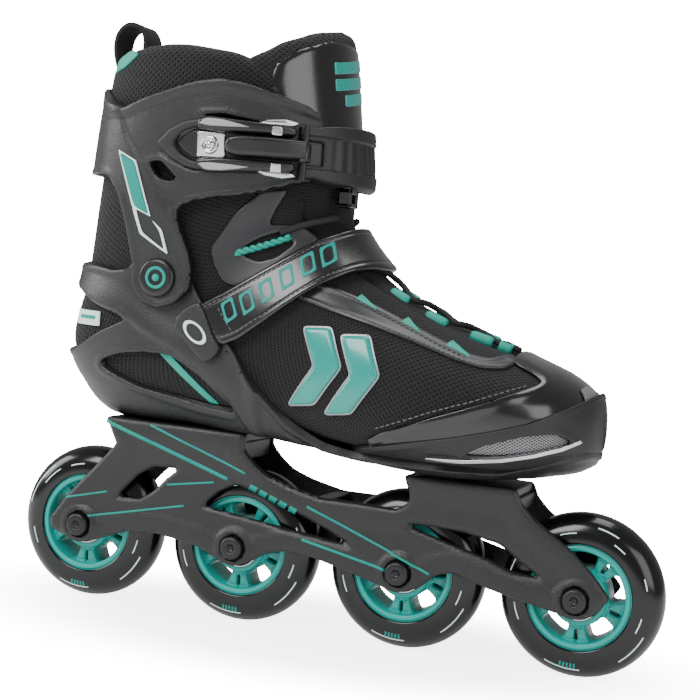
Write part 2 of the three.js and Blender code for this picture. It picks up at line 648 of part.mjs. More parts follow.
function rivet(x, z, outFace, inFace, side) {
  const [low, high] = [Math.min(outFace * side, inFace * side), Math.max(outFace * side, inFace * side)];
  const head = side < 0 ? barY(rivetHead, x, z, low - 1.6, low) : barY(rivetHead, x, z, high, high + 1.6);
  return head.add(barY(rivetRadius, x, z, low - 0.4, high + 0.4, 12));
}
const buckleInside = sideReach(buckleRivetX, buckleZ, cuffInner) - 0.2;
node(cuffGroup, 'buckle_rivet', 'chrome',
  rivet(buckleRivetX, buckleZ, -baseFace + baseThickness + gap, buckleInside, -1));

// The front band wraps the shin outside the cuff and carries the lever on its pin.
const bandZ = [bootZ(226.5), bootZ(253.5)];
const pinX = bootX(115);
const prongX = pinX - 4;
const bandEnd = pinX + 5;
const bandFront = [[prongX, bandZ[0]], [bootX(200), bandZ[0]], [bootX(200), bandZ[1]], [prongX, bandZ[1]],
  [prongX, buckleZ + railGap], [bandEnd, buckleZ + railGap], [bandEnd, buckleZ - railGap],
  [prongX, buckleZ - railGap]];
const flexX = bootX(102);        // the band bends here, just ahead of its rivet
const bandInnerSide = [[flexX + gap / 2, bandZ[0]], [bootX(200), bandZ[0]], [bootX(200), bandZ[1]],
  [flexX + gap / 2, bandZ[1]]];
const bandTab = rounded([[flexX - gap / 2, bandZ[0]], [flexX - gap / 2, bandZ[1]],
  [bandRivetX - 6, bandZ[1] - 3], [bandRivetX - 10, buckleZ], [bandRivetX - 6, bandZ[0] + 3]], 1);
const pinY = -sideReach(pinX, buckleZ, bandOuter) - 1.5;
const pinRadius = 1.5;
const leverEye = 3.2;            // radius of the lever's round end about its pin
function frontBand() {
  const knuckleLow = box(prongX, pinX + 4, pinY - 3.5, pinY + 5.5, bandZ[0], buckleZ - railGap);
  const knuckleHigh = box(prongX, pinX + 4, pinY - 3.5, pinY + 5.5, buckleZ + railGap, bandZ[1]);
  return layer(bandInner, bandOuter, bandFront)
    .add(layer(bandInner, bandOuter, bandInnerSide, 0, wide))
    .add(knuckleLow.add(knuckleHigh).subtract(grown(bandInner)))
    .subtract(barZ(pinRadius + gap, pinX, pinY, bandZ[0] - 5, bandZ[1] + 5));
}
node(cuffGroup, 'front_band', 'plastic', frontBand());
node(cuffGroup, 'front_band_tab', 'plastic', layer(bandInner, bandOuter, bandTab, 0, wide)
  .subtract(barY(rivetRadius + gap, bandRivetX, buckleZ, 0, wide, 12)));
node(cuffGroup, 'lever_pin', 'steel', barZ(pinRadius, pinX, pinY, bandZ[0], bandZ[1], 12));

function lever() {
  const x0 = bootX(80);
  const [low, high] = [buckleZ - leverHalf, buckleZ + leverHalf];
  const grip = box(x0, pinX - 2, baseFace - 8, baseFace - 3.2, low, high);
  const arm = box(pinX - 6, pinX, Math.min(pinY - leverEye, baseFace - 8), pinY + leverEye, low, high);
  return grip.add(arm).add(barZ(leverEye, pinX, pinY, low, high)).subtract(grown(bandInner))
    .subtract(barZ(pinRadius + gap, pinX, pinY, low - 1, high + 1));
}
node(cuffGroup, 'buckle_lever', 'plastic', lever());

const bandFace = sideReach(bandRivetX - rivetHead, buckleZ, bandOuter) + gap + 0.3;
const bandInside = sideReach(bandRivetX, buckleZ, cuffInner) - 0.2;
node(cuffGroup, 'band_rivet', 'chrome', rivet(bandRivetX, buckleZ, bandFace, bandInside, 1));

// A slotted guide that hangs below the band in front of the tongue.
const guideDrop = 10;
function strapGuide() {
  const z1 = bandZ[0] - gap;
  const [x, y] = [bootX(128), -14];
  const block = box(x - 1, x + 6, y - 7, y + 7, z1 - guideDrop, z1);
  return block.subtract(box(x - 5, x + 10, y - 3, y + 3, z1 - 7.5, z1 - 3.5));
}
node(cuffGroup, 'strap_guide', 'plastic', strapGuide());

// ---------------------------------------------------------------- origin
// The origin is the heel seat of the footbed, under the cuff's pivots.
skate.position.set(-pivotX, 0, -bootZ(insoleHeight));

export default skate;
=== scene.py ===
import bpy
import bmesh
import numpy as np
from mathutils import Matrix, Vector


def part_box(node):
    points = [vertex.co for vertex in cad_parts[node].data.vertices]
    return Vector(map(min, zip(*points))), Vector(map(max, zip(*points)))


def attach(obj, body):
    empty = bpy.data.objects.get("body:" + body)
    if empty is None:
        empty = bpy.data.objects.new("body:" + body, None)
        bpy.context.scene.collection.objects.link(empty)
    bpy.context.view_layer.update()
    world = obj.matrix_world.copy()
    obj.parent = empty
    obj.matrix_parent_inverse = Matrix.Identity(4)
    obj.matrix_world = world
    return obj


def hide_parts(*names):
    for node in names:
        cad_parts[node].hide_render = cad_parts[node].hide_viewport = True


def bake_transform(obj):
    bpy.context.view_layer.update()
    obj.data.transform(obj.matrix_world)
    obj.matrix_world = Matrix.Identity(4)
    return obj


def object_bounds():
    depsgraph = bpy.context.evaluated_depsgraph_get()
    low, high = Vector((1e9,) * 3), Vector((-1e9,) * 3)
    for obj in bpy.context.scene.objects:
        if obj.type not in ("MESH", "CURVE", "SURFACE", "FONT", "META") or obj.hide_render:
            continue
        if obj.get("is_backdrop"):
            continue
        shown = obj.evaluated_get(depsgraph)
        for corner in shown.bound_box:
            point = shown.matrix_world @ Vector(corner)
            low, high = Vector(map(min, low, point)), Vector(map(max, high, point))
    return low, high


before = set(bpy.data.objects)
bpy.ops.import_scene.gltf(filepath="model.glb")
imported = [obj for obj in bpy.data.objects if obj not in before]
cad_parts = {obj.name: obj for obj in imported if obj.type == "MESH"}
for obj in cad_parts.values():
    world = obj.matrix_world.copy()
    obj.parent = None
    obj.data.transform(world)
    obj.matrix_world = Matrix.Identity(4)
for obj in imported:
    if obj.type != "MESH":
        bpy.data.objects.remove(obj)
# The CAD box, the ground and the line of axles. The boot and the frame are drawn in millimetres
# from the rear axle (x) and the ground (z), and "there" turns such sizes into the frame's metres.
cad_low, cad_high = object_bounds()
tyre_low, tyre_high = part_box("wheel_1_tyre")
front_low, front_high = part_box("wheel_4_tyre")
rear_axle = (tyre_low.x + tyre_high.x) / 2


# ------------------------------------------------------------------ camera, floor and light
# A long lens at knee height looks at the outer side, a little from the front and rolled.
origin = np.array([rear_axle, 0.0, cad_low.z])


def there(points):
    """Points in millimetres from the rear axle and the ground, as metres in the frame."""
    return np.asarray(points, float) / 1000 + origin


azimuth, elevation, roll = np.radians([18.57, 2.78, 5.27])
look_at = there([134.3, 0.0, 145.4])
back = np.array([np.sin(azimuth) * np.cos(elevation), -np.cos(azimuth) * np.cos(elevation),
                 np.sin(elevation)])
level = np.cross([0, 0, 1], back)
level /= np.linalg.norm(level)
upward = np.cross(back, level)
right = np.cos(roll) * level + np.sin(roll) * upward
up = np.cos(roll) * upward - np.sin(roll) * level
camera_data = bpy.data.cameras.new("camera")
camera_data.sensor_width = 36
camera_data.lens = 36 * 1568.7 / 700
camera = bpy.data.objects.new("camera", camera_data)
camera.matrix_world = Matrix([[*row, place] for row, place in
                              zip(np.stack([right, up, back], 1), look_at + back * 0.7955)] + [[0, 0, 0, 1]])
bpy.context.scene.collection.objects.link(camera)
bpy.context.scene.camera = camera
floor_material = bpy.data.materials.new("pale_floor")
floor_material.use_nodes = True
floor_look = floor_material.node_tree.nodes["Principled BSDF"]
floor_look.inputs["Base Color"].default_value = (0.93, 0.93, 0.93, 1)
floor_look.inputs["Roughness"].default_value = 0.6
floor_look.inputs["Specular IOR Level"].default_value = 0.2
floor_look.inputs["Emission Color"].default_value = (1, 1, 1, 1)
floor_light = floor_material.node_tree.nodes.new("ShaderNodeLightPath")
floor_glow = floor_material.node_tree.nodes.new("ShaderNodeMapRange")
floor_glow.inputs["To Min"].default_value = 0.25
floor_glow.inputs["To Max"].default_value = 20.0
floor_material.node_tree.links.new(floor_light.outputs["Is Camera Ray"], floor_glow.inputs["Value"])
# The floor glows for the camera so that it reads white, and glows less round the row of wheels: a painted
# contact shadow on the floor.
floor_place = floor_material.node_tree.nodes.new("ShaderNodeTexCoord")
floor_far = floor_material.node_tree.nodes.new("ShaderNodeMapping")
floor_far.vector_type = "TEXTURE"
floor_far.inputs["Location"].default_value = (float(origin[0]) + 0.132, 0, 0)
floor_far.inputs["Scale"].default_value = (0.30, 0.16, 9)
floor_round = floor_material.node_tree.nodes.new("ShaderNodeVectorMath")
floor_round.operation = "LENGTH"
floor_painted_shadow = floor_material.node_tree.nodes.new("ShaderNodeMapRange")
floor_painted_shadow.inputs["From Min"].default_value = 0.35
floor_painted_shadow.inputs["From Max"].default_value = 1.0
floor_painted_shadow.inputs["To Min"].default_value = 4.5
floor_painted_shadow.inputs["To Max"].default_value = 20.0
floor_painted_shadow.interpolation_type = "SMOOTHSTEP"
for start, end in ((floor_place.outputs["Object"], floor_far.inputs["Vector"]),
                   (floor_far.outputs[0], floor_round.inputs[0]),
                   (floor_round.outputs["Value"], floor_painted_shadow.inputs["Value"]),
                   (floor_painted_shadow.outputs[0], floor_glow.inputs["To Max"])):
    floor_material.node_tree.links.new(start, end)
floor_material.node_tree.links.new(floor_glow.outputs[0], floor_look.inputs["Emission Strength"])
floor_mesh = bpy.data.meshes.new("floor")
floor_z = cad_low.z - 0.0002
floor_mesh.from_pydata([(-6, -6, floor_z), (6, -6, floor_z), (6, 6, floor_z), (-6, 6, floor_z)], [],
                       [(0, 1, 2, 3)])
floor_mesh.materials.append(floor_material)
floor = bpy.data.objects.new("floor", floor_mesh)
bpy.context.scene.collection.objects.link(floor)
floor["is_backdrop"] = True
world = bpy.data.worlds.new("studio")
bpy.context.scene.world = world
world.use_nodes = True
ambient = world.node_tree.nodes["Background"]
ambient.inputs["Color"].default_value = (1, 1, 1, 1)
ambient.inputs["Strength"].default_value = 0.36
paper = world.node_tree.nodes.new("ShaderNodeBackground")
paper.inputs["Strength"].default_value = 22.0
seen = world.node_tree.nodes.new("ShaderNodeLightPath")
either = world.node_tree.nodes.new("ShaderNodeMixShader")
world.node_tree.links.new(seen.outputs["Is Camera Ray"], either.inputs[0])
world.node_tree.links.new(ambient.outputs[0], either.inputs[1])
world.node_tree.links.new(paper.outputs[0], either.inputs[2])
world.node_tree.links.new(either.outputs[0], world.node_tree.nodes["World Output"].inputs[0])


def softbox(name, place, aim, size, power):
    """A square area light at place, turned to aim."""
    data = bpy.data.lights.new(name, "AREA")
    data.size = size
    data.energy = power
    lamp = bpy.data.objects.new(name, data)
    lamp.location = place
    lamp.rotation_euler = (Vector(place) - Vector(aim)).to_track_quat("Z", "Y").to_euler()
    bpy.context.scene.collection.objects.link(lamp)


middle = (cad_low + cad_high) / 2
softbox("key", (middle.x - 0.5, -1.1, 0.9), middle, 0.7, 19)
softbox("rim", (middle.x - 1.2, -0.25, 0.45), middle, 0.6, 10)
softbox("fill", (middle.x + 1.2, -0.8, 0.5), middle, 0.9, 9)
softbox("top", (middle.x, 0.2, 1.3), middle, 0.9, 12)


# ------------------------------------------------------------------ wheels
# Each tyre is glossy polyurethane cast round a moulded turquoise hub with five wide openings
# and five slots. Dashes are printed on its outer side. Two bearings turn on a bolt.
pitch = ((front_low.x + front_high.x) / 2 - rear_axle) / 3 * 1000


def group(name, inputs, outputs):
    """An empty shader node group with named float inputs and outputs."""
    tree = bpy.data.node_groups.new(name, "ShaderNodeTree")
    for label, kind in inputs:
        tree.interface.new_socket(name=label, in_out="INPUT", socket_type=kind)
    for label, kind in outputs:
        tree.interface.new_socket(name=label, in_out="OUTPUT", socket_type=kind)
    return tree, tree.nodes.new("NodeGroupInput"), tree.nodes.new("NodeGroupOutput")


def put(tree, kind, links=(), **values):
    """A node of that kind; links are (socket name or number, output socket) pairs."""
    made = tree.nodes.new(kind)
    for key, value in values.items():
        setattr(made, key, value)
    for socket, source in links:
        if hasattr(source, "is_output"):
            tree.links.new(source, made.inputs[socket])
        else:
            made.inputs[socket].default_value = source
    return made


grain, grain_in, grain_out = group(
    "grain", [("Vector", "NodeSocketVector"), ("Size", "NodeSocketFloat"), ("Depth", "NodeSocketFloat")],
    [("Height", "NodeSocketFloat"), ("Tone", "NodeSocketFloat")])
fine = put(grain, "ShaderNodeTexNoise", [("Vector", grain_in.outputs["Vector"]),
                                         ("Scale", grain_in.outputs["Size"]), ("Detail", 2.0)])
slow = put(grain, "ShaderNodeTexNoise", [("Vector", grain_in.outputs["Vector"]), ("Scale", 28.0),
                                         ("Detail", 3.0)])
depth = put(grain, "ShaderNodeMath", [(0, fine.outputs["Fac"]), (1, grain_in.outputs["Depth"])],
            operation="MULTIPLY")
grain.links.new(depth.outputs[0], grain_out.inputs["Height"])
speckle = put(grain, "ShaderNodeMath", [(0, slow.outputs["Fac"]), (1, fine.outputs["Fac"])], operation="ADD")
shared = put(grain, "ShaderNodeMapRange", [("Value", speckle.outputs[0]), ("From Min", 0.6),
                                           ("From Max", 1.4)])
grain.links.new(shared.outputs[0], grain_out.inputs["Tone"])


def finish(name, colour, roughness, metallic=0.0, coat=0.0, size=2600.0, depth=0.00006, vary=0.25,
           specular=0.5):
    """A grained material: its colour and roughness change slowly, and fine grain bumps it."""
    material = bpy.data.materials.new(name)
    material.use_nodes = True
    tree = material.node_tree
    shader = tree.nodes["Principled BSDF"]
    shader.inputs["Metallic"].default_value = metallic
    shader.inputs["Coat Weight"].default_value = coat
    shader.inputs["Coat Roughness"].default_value = 0.12
    shader.inputs["Specular IOR Level"].default_value = specular
    where = put(tree, "ShaderNodeTexCoord")
    made = put(tree, "ShaderNodeGroup", node_tree=grain)
    tree.links.new(where.outputs["Object"], made.inputs["Vector"])
    made.inputs["Size"].default_value = size
    made.inputs["Depth"].default_value = depth
    dark = [c * (1 - vary) for c in colour]
    light = [min(1, c * (1 + vary)) for c in colour]
    tone = put(tree, "ShaderNodeMix", [("Factor", made.outputs["Tone"]), (6, (*dark, 1)), (7, (*light, 1))],
               data_type="RGBA")
    tree.links.new(tone.outputs[2], shader.inputs["Base Color"])
    rough = put(tree, "ShaderNodeMapRange", [("Value", made.outputs["Tone"]),
                                             ("To Min", roughness * 0.85), ("To Max", roughness * 1.15)])
    tree.links.new(rough.outputs[0], shader.inputs["Roughness"])
    bump = put(tree, "ShaderNodeBump", [("Height", made.outputs["Height"]), ("Distance", 1.0),
                                        ("Strength", 1.0)])
    tree.links.new(bump.outputs[0], shader.inputs["Normal"])
    return material


def piece(name, points, faces, material, body, uv=None, bevel=0.0, replaces=(), angle=50, sheet=0.0):
    """A mesh object from points in metres and lists of faces, riding on a body. Poles and seams are
    welded and its faces turned outwards. A print is given as a sheet and gets a thickness in mm."""
    data = bpy.data.meshes.new(name)
    data.from_pydata(np.asarray(points, float).tolist(), [], faces)
    data.materials.append(material)
    if uv is not None:
        layer = data.uv_layers.new(name="surface")
        corner = np.zeros(len(data.loops), np.int32)
        data.loops.foreach_get("vertex_index", corner)
        layer.data.foreach_set("uv", np.asarray(uv, np.float32)[corner].ravel())
    welded = bmesh.new()
    welded.from_mesh(data)
    bmesh.ops.remove_doubles(welded, verts=welded.verts, dist=1e-7)
    inside_out = not sheet and welded.calc_volume(signed=True) < 0
    welded.to_mesh(data)
    welded.free()
    if sheet:
        normal = np.zeros(3 * len(data.polygons))
        data.polygons.foreach_get("normal", normal)
        inside_out = normal[1::3].sum() * np.mean(np.asarray(points)[:, 1]) < 0
    if inside_out:
        data.flip_normals()
    data.polygons.foreach_set("use_smooth", np.ones(len(data.polygons), bool))
    data.update()
    made = bpy.data.objects.new(name, data)
    bpy.context.scene.collection.objects.link(made)
    if sheet:
        film = made.modifiers.new("thickness", "SOLIDIFY")
        film.thickness = sheet / 1000
        film.offset = -1
    if bevel:
        rounding = made.modifiers.new("edges", "BEVEL")
        rounding.width = bevel / 1000
        rounding.segments = 2
        rounding.limit_method = "ANGLE"
        rounding.angle_limit = np.radians(angle)
        rounding.use_clamp_overlap = False
        rounding.harden_normals = True
    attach(made, body)
    if replaces:
        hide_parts(*replaces)
    return made


def grid_faces(rows, columns, wrap=False):
    """Quads over a grid numbered row by row; wrap joins the last column to the first."""
    spans = columns if wrap else columns - 1
    i, j = np.meshgrid(np.arange(rows - 1), np.arange(spans), indexing="ij")
    k = (j + 1) % columns
    return np.stack([i * columns + j, (i + 1) * columns + j, (i + 1) * columns + k, i * columns + k],
                    -1).reshape(-1, 4)


def turned(profile, centre, steps):
    """A closed [radius, y] profile turned about an axle along Y at centre (x, z): points, faces."""
    profile = np.asarray(profile, float)
    turn = np.linspace(0, 2 * np.pi, steps, endpoint=False)
    points = np.stack([centre[0] + profile[:, None, 0] * np.cos(turn),
                       np.repeat(profile[:, None, 1], steps, 1),
                       centre[1] + profile[:, None, 0] * np.sin(turn)], -1)
    faces = grid_faces(len(profile) + 1, steps, wrap=True) % (len(profile) * steps)
    return there(points.reshape(-1, 3)), faces.tolist()


def ease(value, low, high):
    """0 below low, 1 above high, smooth between."""
    t = np.clip((value - low) / (high - low), 0, 1)
    return t * t * (3 - 2 * t)


def relief(rows, columns, place, distance, top, base, wrap=False):
    """A plate cut out of a curved sheet. place(u, v, height) is the sheet; distance(points) is
    positive inside the outline. Grid corners next to the outline slide onto it, cells outside
    go, and the plate runs from height base up to top(points, distance), with a wall round it.
    Returns points in millimetres, faces and the (u, v) of each point."""
    u, v = np.meshgrid(np.arange(float(rows)), np.arange(float(columns)), indexing="ij")
    d = distance(place(u, v, 0.0)).ravel()
    number = np.arange(rows * columns).reshape(rows, columns)
    ends = [(number[:-1], number[1:], (1, 0)),
            (number, np.roll(number, -1, 1), (0, 1)) if wrap else (number[:, :-1], number[:, 1:], (0, 1))]
    moves = []
    for start, end, (du, dv) in ends:
        start, end = start.ravel(), end.ravel()
        cross = (d[start] > 0) != (d[end] > 0)
        start, end = start[cross], end[cross]
        t = d[start] / (d[start] - d[end])
        first = t < 0.5
        who = np.where(first, start, end)
        step = np.where(first, t, t - 1)
        moves.append(np.stack([who, step * du, step * dv, np.abs(step)], 1))
    moves = np.concatenate(moves)
    moves = moves[np.argsort(-moves[:, 3])]
    who = moves[:, 0].astype(int)
    shift = np.zeros((rows * columns, 2))
    shift[who] = moves[:, 1:3]
    state = np.where(d > 0, 1, -1)
    state[who] = 0
    u, v = u.ravel() + shift[:, 0], v.ravel() + shift[:, 1]
    cells = grid_faces(rows, columns, wrap)
    held = state[cells]
    centre = d[cells].mean(1) > 0
    out = (held < 0).sum(1)
    alive = (held > 0).any(1) | centre
    quads = cells[(out == 0) & alive]
    three = cells[(out == 1) & alive]
    kept = state[three] >= 0
    triples = three[kept].reshape(-1, 3)
    used = np.unique(np.concatenate([quads.ravel(), triples.ravel()]))
    renumber = np.full(rows * columns, -1)
    renumber[used] = np.arange(len(used))
    quads, triples = renumber[quads], renumber[triples]
    u, v = u[used], v[used]
    flat = place(u, v, 0.0)
    depth = np.where(state[used] == 0, 0.0, np.maximum(d[used], 0))
    upper = place(u, v, top(flat, depth))
    lower = place(u, v, base if np.isscalar(base) else base(flat, depth))
    count = len(used)
    sides = np.concatenate([quads[:, [0, 1]], quads[:, [1, 2]], quads[:, [2, 3]], quads[:, [3, 0]],
                            triples[:, [0, 1]], triples[:, [1, 2]], triples[:, [2, 0]]])
    key = sides[:, 0].astype(np.int64) * count + sides[:, 1]
    opposite = sides[:, 1].astype(np.int64) * count + sides[:, 0]
    border = sides[~np.isin(key, opposite)]
    wall = np.stack([border[:, 1], border[:, 0], border[:, 0] + count, border[:, 1] + count], 1)
    faces = (quads.tolist() + triples.tolist() + (quads[:, ::-1] + count).tolist()
             + (triples[:, ::-1] + count).tolist() + wall.tolist())
    return np.concatenate([upper, lower]), faces, np.concatenate([np.stack([u, v], 1)] * 2)


tyre_look = finish("cast_polyurethane", (0.003, 0.003, 0.0033), 0.17, coat=0.1, size=900, depth=0.00001,
                   specular=0.4)
hub_look = finish("turquoise_nylon", (0.0, 0.29, 0.25), 0.32, size=1500, depth=0.00003, vary=0.1)
bearing_look = finish("bearing_steel", (0.55, 0.55, 0.56), 0.25, metallic=1.0, depth=0.00001)
print_look = finish("pale_print", (0.62, 0.78, 0.74), 0.5, vary=0.1)
teal_print = finish("turquoise_print", (0.0, 0.23, 0.19), 0.5, vary=0.1, specular=0.25)
wheel_radius, half_width, rim = 40.0, 12.0, 25.7


def tyre_side(radius):
    """Half width of the tyre at a radius: flat by the hub, then round to the tread."""
    t = np.clip((radius - rim) / (wheel_radius - rim), 0, 1)
    return half_width * (1 - t ** 2.6) ** (1 / 2.1)


tread = rim + (wheel_radius - rim) * np.sin(np.linspace(0, np.pi / 2, 26))
tyre_profile = np.concatenate([np.stack([tread, tyre_side(tread)], 1),
                               np.stack([tread, -tyre_side(tread)], 1)[::-1][1:]])
dashes = [(35.3, -52, -24), (31.2, -24, -10), (33.0, 14, 24), (31.0, 97, 112), (35.0, -113, -84),
          (31.4, -168, -152), (35.2, 128, 170), (31.6, 124, 146), (34.8, 62, 80), (31.2, 50, 62)]
bars = [(33.2, -101 + 3 * i, -99.4 + 3 * i) for i in range(5)]


def arcs(spans, width, centre):
    """Printed arcs on the tyre's outer side: each follows the side's curve just above it."""
    points, faces = [], []
    for radius, start, end in spans:
        turn, r = np.meshgrid(np.radians(np.linspace(start, end, 14)),
                              np.linspace(radius - width, radius + width, 4), indexing="ij")
        points.append(np.stack([centre + r * np.cos(turn), -tyre_side(r) - 0.06,
                                wheel_radius + r * np.sin(turn)], -1).reshape(-1, 3))
        faces += (grid_faces(14, 4) + 56 * len(faces) // 39).tolist()
    return there(np.concatenate(points)), faces


def hub_cut(points):
    """Distance into the hub's web, outside its openings and slots."""
    x, z = points[..., 0], points[..., 2] - wheel_radius
    radius, turn = np.hypot(x, z), np.arctan2(z, x)
    fifth = 2 * np.pi / 5
    near = (turn - hub_turn + fifth / 2) % fifth - fifth / 2
    opening = np.maximum(np.abs(radius - 17.9) - 1.9, (np.abs(near) - 0.25) * radius)
    opening = np.where((np.abs(radius - 17.9) > 1.9) & ((np.abs(near) - 0.25) * radius > 0),
                       np.hypot(np.abs(radius - 17.9) - 1.9, (np.abs(near) - 0.25) * radius), opening)
    other = (near + fifth) % fifth - fifth / 2
    slot_line = np.hypot(np.maximum(np.abs(radius - 18.4) - 1.9, 0), other * radius)
    return np.minimum(opening - 1.9, slot_line - 0.85)


def hub_top(points, depth):
    """The hub's face: a proud rim ring and centre boss, a sunk web, soft edges at openings."""
    x, z = points[..., 0], points[..., 2] - wheel_radius
    radius = np.hypot(x, z)
    ring = ease(radius, 21.6, 22.5) - 0.25 * ease(radius, 24.4, 24.8)
    boss = 1 - ease(radius, 13.2, 14.0)
    spoke = 0.5 * ease(radius, 14.0, 16) * (1 - ease(radius, 19.5, 21.8))
    soft = 1 - np.sqrt(np.clip(1 - (1 - np.clip(depth / 1.2, 0, 1)) ** 2, 0, 1))
    return 8.2 + 3.6 * ring + 3.2 * boss + spoke - 1.0 * soft


hub_turn = np.radians(18)
hub_rows, hub_columns = 34, 300
for number in range(4):
    name = f"wheel_{number + 1}"
    centre = number * pitch
    points, faces = turned(tyre_profile, (centre, wheel_radius), 144)
    piece(f"{name}_tyre_cast", points, faces, tyre_look, name, replaces=(f"{name}_tyre",))

    def hub_place(u, v, height):
        """Polar grid: u runs out from the bearing seat to the rim, v goes round."""
        radius = 11.2 + (rim - 11.2) * u / (hub_rows - 1)
        turn = -2 * np.pi * v / hub_columns
        return np.stack([radius * np.cos(turn), -height + 0 * u, wheel_radius + radius * np.sin(turn)], -1)

    points, faces, _ = relief(hub_rows, hub_columns, hub_place, hub_cut, hub_top, 0.0, wrap=True)
    half = len(points) // 2
    points[half:] = points[:half] * [1, -1, 1]
    piece(f"{name}_hub_moulding", there(points + [centre, 0, 0]), faces, hub_look, name,
          replaces=(f"{name}_hub",))
    for side in ("outer", "inner"):
        sign = -1 if side == "outer" else 1
        shield = [(4.4, 5.2), (11, 5.2), (11, 12.0), (10.2, 12.1), (10.0, 11.6), (6.2, 11.6), (6.0, 12.1),
                  (4.4, 12.1)]
        points, faces = turned([(r, sign * y) for r, y in shield], (centre, wheel_radius), 48)
        piece(f"{name}_bearing_{side}", points, faces, bearing_look, name,
              replaces=(f"{name}_bearing_{side}_side",))
    for label, spans, look in (("dashes", dashes, print_look), ("bars", bars, teal_print)):
        points, faces = arcs(spans, 0.3 if label == "dashes" else 1.3, centre)
        piece(f"{name}_{label}", points, faces, look, name, sheet=0.12)
    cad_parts[f"{name}_spacer"].material_slots[0].material = bearing_look


# ------------------------------------------------------------------ boot: padded mesh upper
# The soft boot is one sewn upper of spacer mesh over foam, from the toe up to a padded collar.
# It folds at the ankle, where the cuff leans. The throat in front is open for the tongue.
def rounded(points, radius, spacing=1.5):
    """A closed outline with its corners rounded: laid out evenly, then averaged over radius."""
    loop = np.asarray(points, float)
    closed = np.concatenate([loop, loop[:1]])
    run = np.concatenate([[0], np.cumsum(np.linalg.norm(np.diff(closed, axis=0), axis=1))])
    count = max(12, int(run[-1] / spacing))
    even = np.linspace(0, run[-1], count, endpoint=False)
    laid = np.stack([np.interp(even, run, closed[:, i]) for i in range(2)], 1)
    reach = np.arange(-12, 13)
    weight = np.exp(-0.5 * (reach * run[-1] / count / max(radius, 0.01)) ** 2)
    weight /= weight.sum()
    return sum(w * np.roll(laid, -r, axis=0) for w, r in zip(weight, reach))


def inside(points, outline):
    """Signed distance of points (n, 2) to a closed outline, positive inside."""
    points = np.asarray(points, float)
    low, high = outline.min(0) - 12, outline.max(0) + 12
    near = np.all((points > low) & (points < high), axis=-1)
    result = np.full(points.shape[:-1], -12.0)
    chosen = points[near]
    a, b = outline, np.roll(outline, -1, axis=0)
    edge = b - a
    length = np.maximum((edge ** 2).sum(1), 1e-12)
    found = np.empty(len(chosen))
    for part in np.array_split(np.arange(len(chosen)), max(1, len(chosen) // 4000)):
        p = chosen[part][:, None, :]
        share = np.clip(((p - a) * edge).sum(-1) / length, 0, 1)
        gap = np.sqrt((((p - a) - share[..., None] * edge) ** 2).sum(-1).min(1))
        over = (a[:, 1] > p[..., 1]) != (b[:, 1] > p[..., 1])
        rise = np.where(np.abs(edge[:, 1]) < 1e-12, 1e-12, edge[:, 1])
        left = p[..., 0] < a[:, 0] + (p[..., 1] - a[:, 1]) * edge[:, 0] / rise
        found[part] = np.where((over & left).sum(1) % 2 == 1, gap, -gap)
    result[near] = found
    return result


sections = np.array([
    [262, 114, 262, 122, 1, 2.2, 7], [259, 107.5, 259.5, 134, 20, 2.5, 7],
    [246, 102.5, 248, 143, 37, 3.0, 5.5], [228, 99, 231, 149.5, 44.5, 3.2, 4],
    [203, 97, 207, 157.5, 48.5, 3.2, 2.5], [173, 97.5, 180, 167.5, 49.5, 3.2, 1],
    [143, 99.5, 160, 177.5, 47, 3.0, 0], [110, 102, 147, 187, 43.5, 2.8, 0],
    [60, 105, 136, 199, 40.5, 2.6, 0], [8, 107, 130.5, 209.5, 39, 2.4, 0],
    [-17, 132, 129, 219.5, 38.5, 2.3, 0], [-12, 168, 128, 232, 40, 2.3, 0],
    [-8.5, 205, 125.5, 247, 43.5, 2.3, 0], [-4.5, 246, 122.5, 266, 47, 2.3, 0],
    [0, 284, 118.5, 290, 47, 2.3, 0], [2, 306, 115, 312, 45, 2.3, 0]])
cell = 1.4


def boot_point(k, turn, offset):
    """A point of the last, grown by offset: section k is a squared ellipse from the sole or heel
    line (turn 0) over the outer side to the instep or shin (half a turn) and back."""
    i = np.clip(np.floor(k).astype(int), 0, len(sections) - 2)
    f = (k - i)[..., None]
    a, b, c, d = (sections[np.clip(i + n, 0, len(sections) - 1)] for n in (-1, 0, 1, 2))
    blend = 0.5 * (2 * b + (c - a) * f + (2 * a - 5 * b + 4 * c - d) * f ** 2
                   + (3 * b - a - 3 * c + d) * f ** 3)
    sole_x, sole_z, top_x, top_z, half, square, shift = np.moveaxis(blend, -1, 0)
    length = np.hypot(top_x - sole_x, top_z - sole_z)
    ux, uz = (top_x - sole_x) / length, (top_z - sole_z) / length
    c, s = np.cos(turn), np.sin(turn)
    power = 2 / np.where(c > 0, square, 2.1)
    along = -np.sign(c) * np.abs(c) ** power
    across = -np.sign(s) * np.abs(s) ** power
    reach = length / 2 * along + offset * along
    return np.stack([(sole_x + top_x) / 2 + ux * reach + np.maximum(0, 1 - k / 2) * offset,
                     half * across + shift + offset * across, (sole_z + top_z) / 2 + uz * reach], -1)


dense_k = np.linspace(0, len(sections) - 1, 1501)
dense = boot_point(dense_k[:, None], np.linspace(0, 2 * np.pi, 121)[None], 0.0)
stride = np.linalg.norm(np.diff(dense, axis=0), axis=2).max(1)
run = np.concatenate([[0], np.cumsum(stride)])
boot_rows = int(run[-1] / cell)
row_k = np.interp(np.linspace(0, run[-1], boot_rows), run, dense_k)
boot_columns = 256
ring = np.linspace(0, 2 * np.pi, 1441)
girth = boot_point(row_k[:, None], ring[None], 0.0)
girth = np.concatenate([np.zeros((boot_rows, 1)),
                        np.cumsum(np.linalg.norm(np.diff(girth, axis=1), axis=2), 1)], 1)
turn_table = np.stack([np.interp(np.linspace(0, g[-1], boot_columns + 1), g, ring) for g in girth])


